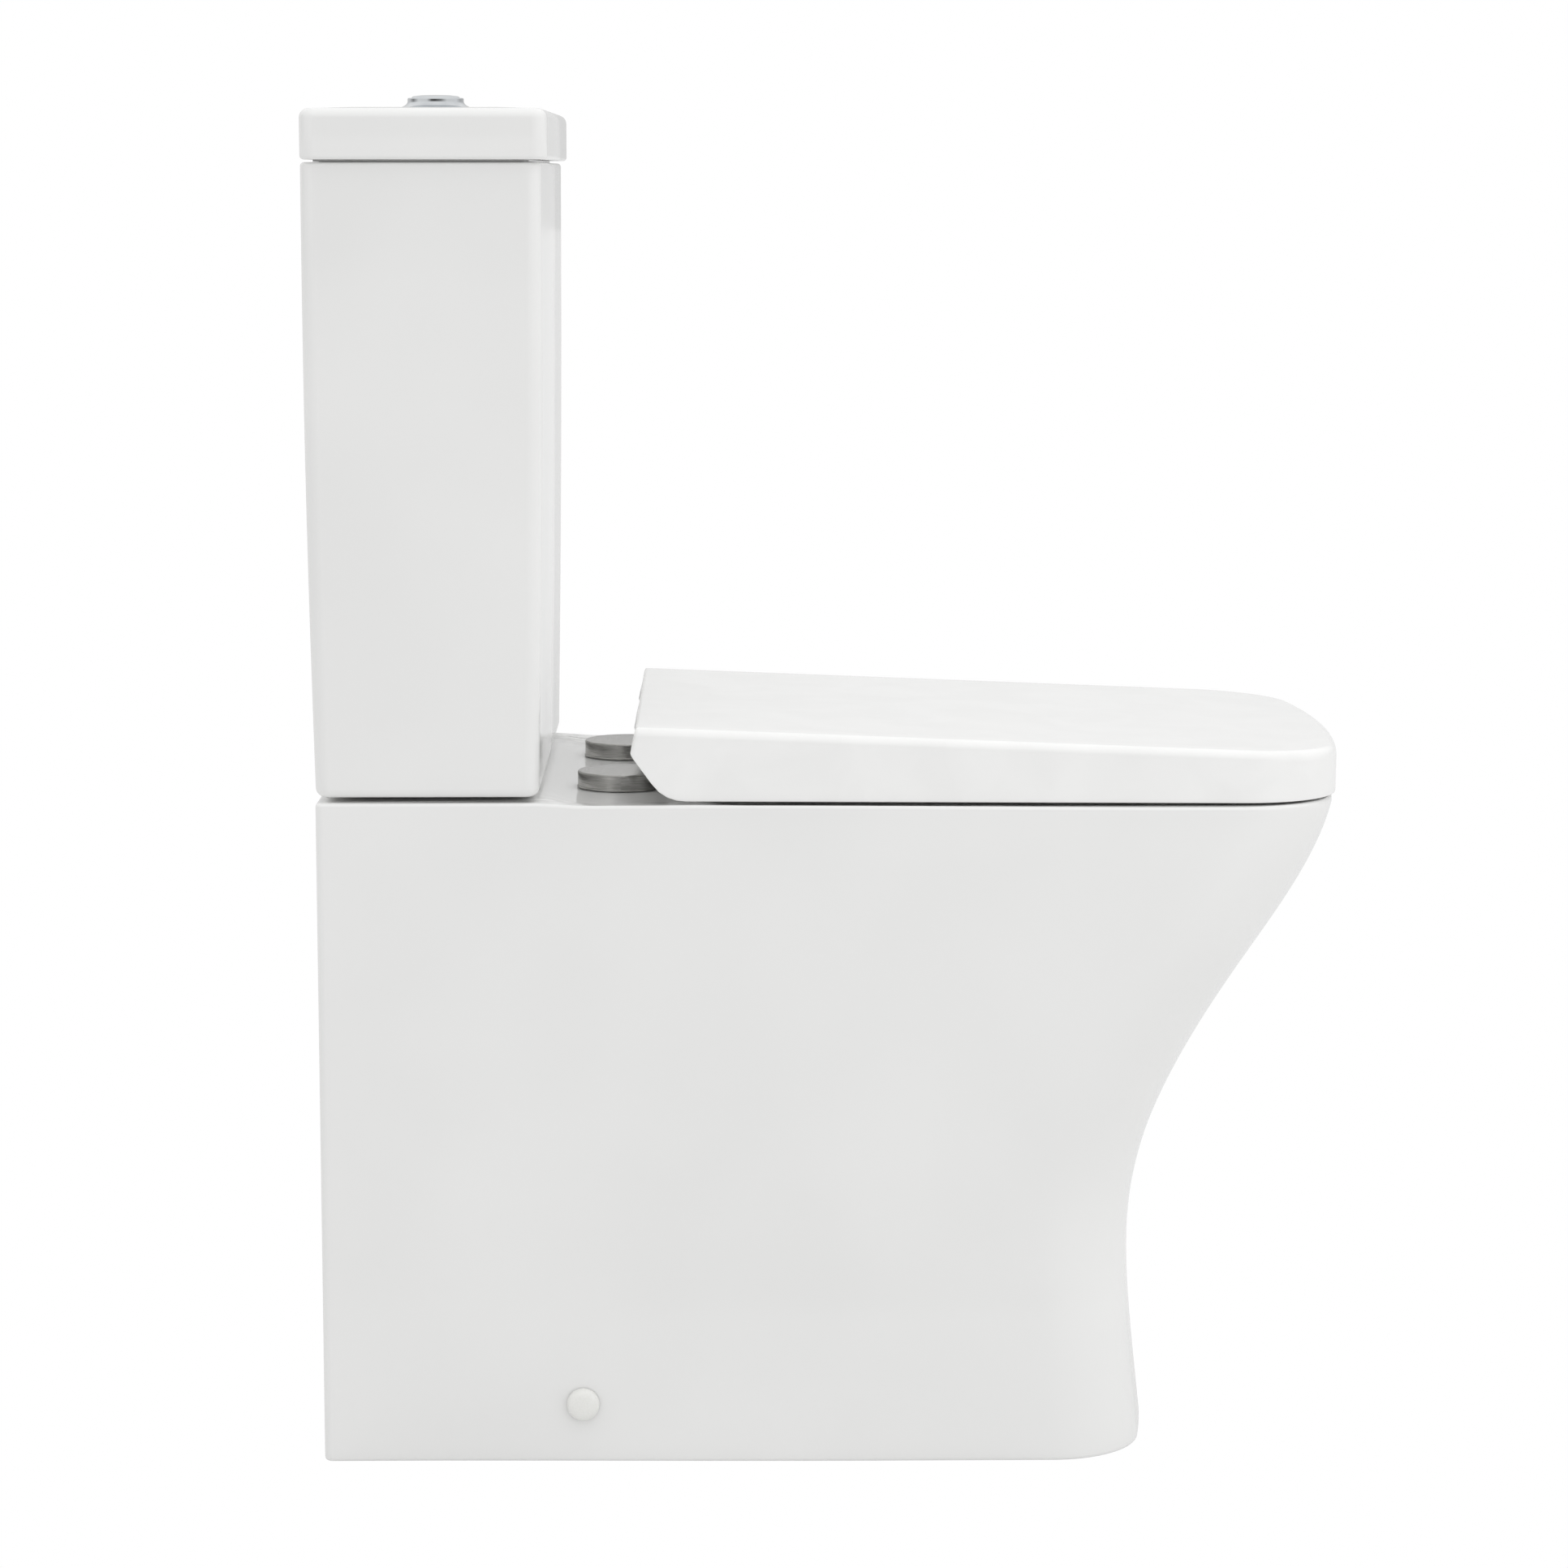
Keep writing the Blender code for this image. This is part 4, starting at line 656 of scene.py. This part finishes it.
def buildLid():
    rear, front = cisternFaces(cistern["high"])
    front += lid["overhang"]
    levels = []
    for a in range(0, 91, 15):
        turn = math.radians(a)
        levels.append((lid["low"] + lid["lowRadius"] * (1 - math.cos(turn)),
                       lid["lowRadius"] * (1 - math.sin(turn))))
    edge = lid["high"] - lid["crown"]
    for a in range(0, 91, 10):
        turn = math.radians(a)
        levels.append((edge - lid["topRadius"] * (1 - math.sin(turn)),
                       lid["topRadius"] * (1 - math.cos(turn))))
    for k in range(1, 7):  # the dome, up to a flat round the button
        levels.append((edge + lid["crown"] * smooth(k / 6), lid["topRadius"] + 0.030 * k / 6))
    rings = []
    for z, inset in levels:
        points = roundedRectangle(lid["half"], rear, front, lid["corner"], inset)
        rings.append([at(x, d, z) for x, d in points])
    body = newObject("lid_china", skin(rings))
    rest = roundedRectangle(cistern["half"], rear, front - lid["overhang"], lid["restCorner"], lid["rest"])
    innerRear, innerFront = cisternFaces(cistern["high"] - lid["plug"])
    inset = cistern["wall"] + lid["plugPlay"]
    inner = [cistern["half"], innerRear, innerFront, cistern["innerCorner"]]
    carve(body, [
        upright(rest, (cistern["high"] + lid["gap"], lid["low"] + 0.004)),
        upright(roundedRectangle(*inner, inset), (cistern["high"] - lid["plug"], lid["low"] + 0.006)),
    ], "UNION")
    spaceHeights = (cistern["high"] - lid["plug"] - 0.01, lid["high"] - lid["topThick"])
    space = upright(roundedRectangle(*inner, inset + lid["rib"]), spaceHeights)
    hole = rod(lid["hole"], lid["high"] - 0.03, lid["high"] + 0.01, at(0, bowl["flushD"], 0), 64)
    return carve(body, [space, hole])


finishPiece(buildLid(), china, "lid", ["cistern_lid"])
print("cistern and lid built")

# seat cover
cover = {
    "tip": wallY - coverLow.y, "half": (coverHigh.x - coverLow.x) / 2, "rear": 0.1943,
    "rearZ": coverHigh.z, "fall": 0.0402, "footRear": 0.4186, "footFront": 0.4164, "lean": 0.0032,
    "wall": 0.0042, "topRadius": 0.0062, "footRadius": 0.0011, "rearRadius": 0.0030,
    "chamferDrop": 0.0173, "chamferRun": 0.0137, "chamferFall": 0.0188,
    "corner": 0.064, "crown": 0.860, "sideDraft": 0.0012,
}
knuckle = {
    "radius": 0.0095, "length": 0.029, "post": 0.0064, "pin": 0.0046, "damper": 0.0072, "bolt": 0.0095,
}
hingeX = (capLow.x + capHigh.x) / 2
axisD = wallY - hinge.y


def coverTop(forward):
    return cover["rearZ"] - cover["fall"] * (forward - cover["rear"])


chamferD = cover["rear"] + cover["chamferRun"]
chamferZ = cover["rearZ"] - cover["chamferDrop"] - cover["chamferFall"]
slant = math.atan2(cover["chamferFall"], cover["chamferRun"])
footSlope = (cover["footFront"] - cover["footRear"]) / (cover["tip"] - cover["rear"])


def flatFoot(forward):
    return cover["footRear"] + footSlope * (forward - cover["rear"])


sweepRadius = (chamferZ - flatFoot(chamferD)) / (1 - math.cos(slant))
sweepD = chamferD + sweepRadius * math.sin(slant)


def coverFoot(forward):  # the lower edge: flat along the rim, then swept up to the rear face
    if forward >= sweepD:
        return flatFoot(forward)
    if forward >= chamferD:
        offset = sweepD - forward
        return flatFoot(chamferD) + sweepRadius - math.sqrt(sweepRadius**2 - offset**2)
    share = (chamferD - forward) / cover["chamferRun"]
    return chamferZ + cover["chamferFall"] * min(share, 1.0)


def coverRing(inset, height, fromTop, rearInset):
    points = outline(cover["half"] - inset, cover["rear"] + rearInset, cover["tip"] - inset,
                     max(cover["rearRadius"] - inset, 0.0008), max(cover["corner"] - inset, 0.004),
                     cover["crown"] - inset)
    return [at(x, d, coverTop(d) - height if fromTop else coverFoot(d) + height) for x, d in points]


def buildCover():
    rings = []
    foot, top, draft = cover["footRadius"], cover["topRadius"], cover["sideDraft"]
    for a in range(0, 91, 18):  # outer lower edge
        turn = math.radians(a)
        rings.append(coverRing(foot * (1 - math.sin(turn)) + draft * 0.2, foot * (1 - math.cos(turn)), False,
                               foot * (1 - math.sin(turn))))
    for k in range(1, 9):  # side wall, leaning in a little towards the top
        share = k / 8
        upper = coverRing(draft * 0.2 * (1 - share), 0.0, True, cover["lean"] * 0.75 * share)
        low = rings[5]
        high = [p - Vector((0, 0, top)) for p in upper]
        rings.append([Vector((h.x, h.y, l.z + (h.z - l.z) * share)) for l, h in zip(low, high)])
    for a in range(0, 91, 9):  # soft upper edge
        turn = math.radians(a)
        rear = cover["lean"] * 0.75 + 0.0030 * (1 - math.cos(turn))
        rings.append(coverRing(top * (1 - math.cos(turn)), top * (1 - math.sin(turn)) ** 1.15, True, rear))
    for inset in (0.020, 0.045, 0.075, 0.105, 0.135):
        rings.append(coverRing(inset, 0.0, True, cover["lean"] + 0.003 + inset * 0.5))
    shell = newObject("seat_cover_shell", skin(rings))
    wall = cover["wall"]
    inner = [
        coverRing(wall, -0.02, False, wall), coverRing(wall, 0.004, False, wall),
        coverRing(wall, 0.012, True, wall + 0.001),
        coverRing(wall + 0.002, wall + 0.002, True, wall + 0.003),
        coverRing(wall + 0.006, wall, True, wall + 0.006),
    ]
    carve(shell, [skin(inner)])
    ceiling = coverTop(cover["rear"]) - wall
    reach = knuckle["post"] + knuckle["length"]
    for side in (-1, 1):
        start = hingeX + knuckle["post"]
        pocket = box((hingeX - reach - 0.0016, cover["rear"] - 0.01, pan["deckZ"] - 0.015),
                     (hingeX + reach + 0.0086, cover["rear"] + 0.012, ceiling))
        barrel = rod(knuckle["radius"], start, start + knuckle["length"], at(0, axisD, hinge.z), 64, "X")
        root = box((start + 0.0005, axisD - 0.008, hinge.z),
                   (start + knuckle["length"] - 0.0005, axisD + 0.016, coverTop(axisD) - 0.002))
        bore = rod(knuckle["pin"], start - 0.01, start + 0.012, at(0, axisD, hinge.z), 32, "X")
        wide = rod(knuckle["damper"], start + knuckle["bolt"], start + 0.05, at(0, axisD, hinge.z), 32, "X")
        parts = [mirrored(m) if side < 0 else m for m in (pocket, barrel, root, bore, wide)]
        carve(shell, [parts[0]])
        carve(shell, [parts[2], parts[1]], "UNION")
        carve(shell, parts[3:])
    return shell


finishPiece(buildCover(), duroplast, "cover", ["seat_cover"])

# seat ring
ring = {
    "inset": 0.0067, "low": ringLow.z, "top": 0.4380, "rear": 0.2330, "rearRadius": 0.012,
    "holeHalf": 0.106, "holeRear": 0.300, "holeFront": 0.582, "edge": 0.0065, "footEdge": 0.0025,
}


def buildRing():
    outerLow, outerHigh, holeHigh, holeLow = [], [], [], []

    def outer(more, z):
        inset = ring["inset"] + more
        points = outline(cover["half"] - inset, ring["rear"] + more, cover["tip"] - inset,
                         ring["rearRadius"], cover["corner"] - inset, cover["crown"] - inset)
        return [at(x, d, z) for x, d in points]

    def hole(more, z):
        points = outline(ring["holeHalf"] + more, ring["holeRear"] - more, ring["holeFront"] + more,
                         0.080, 0.092, 0.135)
        return [at(x, d, z) for x, d in points]

    for a in range(0, 91, 15):
        turn = math.radians(a)
        out, up = 1 - math.sin(turn), 1 - math.cos(turn)
        outerLow.append(outer(ring["footEdge"] * out, ring["low"] + ring["footEdge"] * up))
        outerHigh.append(outer(ring["edge"] * up, ring["top"] - ring["edge"] * out))
        holeHigh.append(hole(ring["edge"] * 1.4 * out, ring["top"] - ring["edge"] * 1.2 * up))
        holeLow.append(hole(ring["footEdge"] * up, ring["low"] + ring["footEdge"] * out))
    body = newObject("seat_ring_body", skin(outerLow + outerHigh + holeHigh + holeLow, closed=True))
    for side in (-1, 1):
        end = hingeX - knuckle["post"]
        barrel = rod(knuckle["radius"], end - knuckle["length"], end, at(0, axisD, hinge.z), 64, "X")
        arm = sidePrism([
            (axisD - 0.004, hinge.z - 0.0085), (ring["rear"] - 0.001, ring["low"] + 0.006),
            (ring["rear"] + 0.03, ring["low"] + 0.006), (ring["rear"] + 0.03, ring["top"] - 0.001),
            (axisD + 0.006, hinge.z + 0.007),
        ], end - knuckle["length"] + 0.0005, end - 0.0005)
        bore = rod(knuckle["pin"], end - 0.012, end + 0.01, at(0, axisD, hinge.z), 32, "X")
        wide = rod(knuckle["damper"], end - 0.05, end - knuckle["bolt"], at(0, axisD, hinge.z), 32, "X")
        parts = [mirrored(m) if side < 0 else m for m in (arm, barrel, bore, wide)]
        carve(body, parts[:2], "UNION")
        carve(body, parts[2:])
    return body


finishPiece(buildRing(), duroplast, "seat", ["seat_ring"])
print("seat built")

# hinge caps, brushed steel cups with a slot for the hinge post
cap = {
    "radius": 0.0285, "skin": 0.0014, "lipHeight": 0.0011, "lipOut": 0.00035, "edge": 0.0012,
    "slotRear": 0.0099, "slotHalf": 0.0064, "slotLength": 0.0058,
}
for hand in ("left", "right"):
    low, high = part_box("hinge_cap_" + hand)
    middle = Vector(((low.x + high.x) / 2, (low.y + high.y) / 2, 0))
    r = cap["radius"] - cap["lipOut"]
    lipZ = low.z + cap["lipHeight"]
    profile = [(r - cap["skin"], low.z), (cap["radius"], low.z), (cap["radius"], lipZ - 0.0003), (r, lipZ)]
    profile += arc((r - cap["edge"], high.z - cap["edge"]), cap["edge"], 0, 90, 6)
    profile += [(0, high.z), (0, high.z - cap["skin"]), (r - cap["skin"], high.z - cap["skin"])]
    cup = newObject("hinge_cap_cup_" + hand, turned(profile, Vector((0, 0, 0)), 128))
    slotCut = box((-cap["slotHalf"], 0, high.z - 0.005),
                  (cap["slotHalf"], cap["slotLength"], high.z + 0.005))
    slotCut.transform(Matrix.Translation(Vector((0, -wallY + (hinge.y + cap["slotRear"]) - middle.y, 0))))
    carve(cup, [slotCut])
    cup.location = middle
    finishPiece(cup, brushedSteel, "root", ["hinge_cap_" + hand])
print("hinge caps built")

# flush button: bezel and two half buttons
button = {
    "bore": 0.0164, "shank": 0.0195, "shankDepth": 0.040, "flange": 0.0275, "flangeZ": 0.0003,
    "radius": 0.0158, "edge": 0.0022, "rim": 0.0078, "rimRadius": 0.0008,
    "split": 0.003, "gap": 0.0004, "rod": 0.003,
}
lidTop = lid["high"]
flushCentre = at(0, bowl["flushD"], 0)


def buildBezel():
    flare = []
    for k in range(13):  # hollow curve from the flange up to the rim
        turn = math.radians(90 * k / 12)
        flare.append((button["flange"] - (button["flange"] - button["bore"] - 0.0016) * math.sin(turn),
                      lidTop + 0.0012 + 0.0045 * (1 - math.cos(turn))))
    edge = button["rimRadius"]
    rim = arc((button["bore"] + edge, lidTop + button["rim"] - edge), edge, 0, 180, 10)
    profile = [
        (button["bore"], lidTop - button["shankDepth"]), (button["shank"], lidTop - button["shankDepth"]),
        (button["shank"], lidTop + button["flangeZ"]), (button["flange"], lidTop + button["flangeZ"]),
    ]
    return turned(profile + flare + rim, flushCentre, 128)


finishPiece(newObject("bezel_ring", buildBezel()), chrome, "lid", ["button_bezel"])
for name, low, high, rodX in (("full_flush_button", -0.03, button["split"] - button["gap"], -0.007),
                              ("half_flush_button", button["split"] + button["gap"], 0.03, 0.010)):
    nodeLow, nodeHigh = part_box(name)
    r, top, foot = button["radius"], nodeHigh.z, lidTop - 0.006
    dome = arc((r - button["edge"], top - 0.0007 - button["edge"]), button["edge"], 0, 80, 8)
    dome += [(r * 0.6, top - 0.0002), (r * 0.3, top - 0.00005)]
    half = newObject(name + "_cap", turned([(0, foot), (r, foot)] + dome + [(0, top)], flushCentre, 128))
    slab = box((low, bowl["flushD"] - 0.03, lidTop - 0.03), (high, bowl["flushD"] + 0.03, lidTop + 0.03))
    carve(half, [slab], "INTERSECT")
    carve(half, [rod(button["rod"], nodeLow.z, foot + 0.002, at(rodX, bowl["flushD"], 0), 24)], "UNION")
    finishPiece(half, chrome, name.replace("_flush", ""), [name])
print("flush button built")

# side fixing caps
sideCap = {"radius": 0.0102, "rim": 0.0016, "core": 0.0062}
for side, hand in ((-1, "left"), (1, "right")):
    low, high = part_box("side_fixing_cap_" + hand)
    middle = (low + high) / 2
    face, out = (low.x, high.x) if side > 0 else (-high.x, -low.x)
    depth = out - face
    rimZ = face + sideCap["rim"]
    profile = [(sideCap["core"], face), (sideCap["radius"], face), (sideCap["radius"], rimZ)]
    for k in range(1, 13):  # soft edge, then a shallow dome
        turn = math.radians(90 * k / 12)
        profile.append((sideCap["radius"] * math.cos(turn) ** 0.55 if k < 12 else 0,
                        rimZ + (depth - sideCap["rim"]) * math.sin(turn)))
    profile += [(0, out - 0.0022), (sideCap["core"], face + 0.0030)]
    mesh = turned(profile, Vector((0, 0, 0)), 64, "X")
    mesh.transform(Matrix.Translation(Vector((0, middle.y, middle.z))))
    cup = newObject("side_cap_" + hand, mirrored(mesh) if side < 0 else mesh)
    finishPiece(cup, stock["mouldedAbsWhite"], "root", ["side_fixing_cap_" + hand])
print("side caps built")

# floor, light and camera
stage = {
    "floor": "#C2C2C2", "floorGlow": 0.50, "floorSize": 60, "overhead": 1.00,
    # studio walls seen in the chrome: share of a full turn from the viewer's side, brightness
    "walls": [(0.00, 0.10), (0.07, 0.30), (0.14, 0.85), (0.27, 0.95), (0.34, 0.58), (0.50, 0.66),
              (0.64, 0.75), (0.72, 0.30), (0.80, 0.90), (0.91, 0.85), (0.96, 0.15), (1.00, 0.10)],
    "key": {"power": 2.9, "size": (1.4, 1.0), "place": (-1.5, -1.5, 0.45), "target": (0, -0.2, 0.3)},
    "top": {"power": 12.5, "size": (2.4, 2.4), "place": (-0.9, -0.6, 3.0), "target": (0, -0.1, 0.4)},
}


def showAs(tree, lighting, shown, output):  # one shader lights the object, the other is what is seen
    seen = addNode(tree, "ShaderNodeLightPath").outputs["Is Camera Ray"]
    mixed = addNode(tree, "ShaderNodeMixShader", inputs={
        0: seen, 1: lighting.outputs[0], 2: shown.outputs[0]})
    tree.links.new(mixed.outputs[0], tree.nodes[output].inputs["Surface"])


floorMesh = bmesh.new()
bmesh.ops.create_grid(floorMesh, x_segments=1, y_segments=1, size=stage["floorSize"])
floor = newObject("studio_floor", floorMesh)
material, tree, shader, place = newMaterial("paleStudioFloor", 0.9)
shader.inputs["Base Color"].default_value = linear(stage["floor"])
shader.inputs["Specular IOR Level"].default_value = 0.0
shader.inputs["Emission Color"].default_value = linear(stage["floor"])
shader.inputs["Emission Strength"].default_value = stage["floorGlow"]
# the sweep looks plain white, but lights the china only softly
white = addNode(tree, "ShaderNodeEmission", inputs={"Color": (1, 1, 1, 1), "Strength": 1.0})
showAs(tree, shader, white, "Material Output")
floor.data.materials.append(material)
floor.location.z = -0.0005

world = bpy.data.worlds.new("softStudio")
world.use_nodes = True
bpy.context.scene.world = world
tree = world.node_tree
direction = addNode(tree, "ShaderNodeTexCoord").outputs["Generated"]
around = addNode(tree, "ShaderNodeTexGradient", {"gradient_type": "RADIAL"}, {"Vector": direction})
walls = addNode(tree, "ShaderNodeValToRGB", inputs={"Fac": around.outputs["Fac"]})
for place, _ in stage["walls"][1:-1]:
    walls.color_ramp.elements.new(place)
for element, (place, brightness) in zip(walls.color_ramp.elements, stage["walls"]):
    element.position = place
    element.color = (brightness, brightness, brightness, 1)
height = addNode(tree, "ShaderNodeSeparateXYZ", inputs={"Vector": direction}).outputs["Z"]
ceiling = addNode(tree, "ShaderNodeMapRange", inputs={"Value": height, "From Min": 0.16, "From Max": 0.50})
room = addNode(tree, "ShaderNodeMix", {"data_type": "RGBA"}, {
    "Factor": ceiling.outputs["Result"], 6: walls.outputs["Color"],
    7: (stage["overhead"], stage["overhead"], stage["overhead"], 1)})
lit = addNode(tree, "ShaderNodeBackground", inputs={"Color": room.outputs[2], "Strength": 1.0})
plain = addNode(tree, "ShaderNodeBackground", inputs={"Color": (1, 1, 1, 1), "Strength": 1.0})
showAs(tree, lit, plain, "World Output")

for name in ("key", "top"):
    look = stage[name]
    light = bpy.data.lights.new(name, "AREA")
    light.shape = "RECTANGLE"
    light.size, light.size_y = look["size"]
    light.energy = look["power"]
    lamp = bpy.data.objects.new(name, light)
    lamp.visible_glossy = False  # the china mirrors the room only
    bpy.context.scene.collection.objects.link(lamp)
    lamp.location = look["place"]
    lamp.rotation_mode = "QUATERNION"
    lamp.rotation_quaternion = (Vector(look["target"]) - Vector(look["place"])).to_track_quat("-Z", "Y")

camera = bpy.data.cameras.new("camera")
camera.lens = 100
camera.sensor_width = 36
cameraObject = bpy.data.objects.new("camera", camera)
bpy.context.scene.collection.objects.link(cameraObject)
view = {"place": (-2.8319, 0.0690, 0.8025), "pitch": 7.97, "yaw": 0.80}
pitch, yaw = math.radians(view["pitch"]), math.radians(view["yaw"])
forward = Vector((math.cos(yaw) * math.cos(pitch), -math.sin(yaw) * math.cos(pitch), -math.sin(pitch)))
cameraObject.location = view["place"]
cameraObject.rotation_mode = "QUATERNION"
cameraObject.rotation_quaternion = forward.to_track_quat("-Z", "Y")
bpy.context.scene.camera = cameraObject
bpy.context.scene.view_settings.view_transform = "Standard"
print("stage ready")
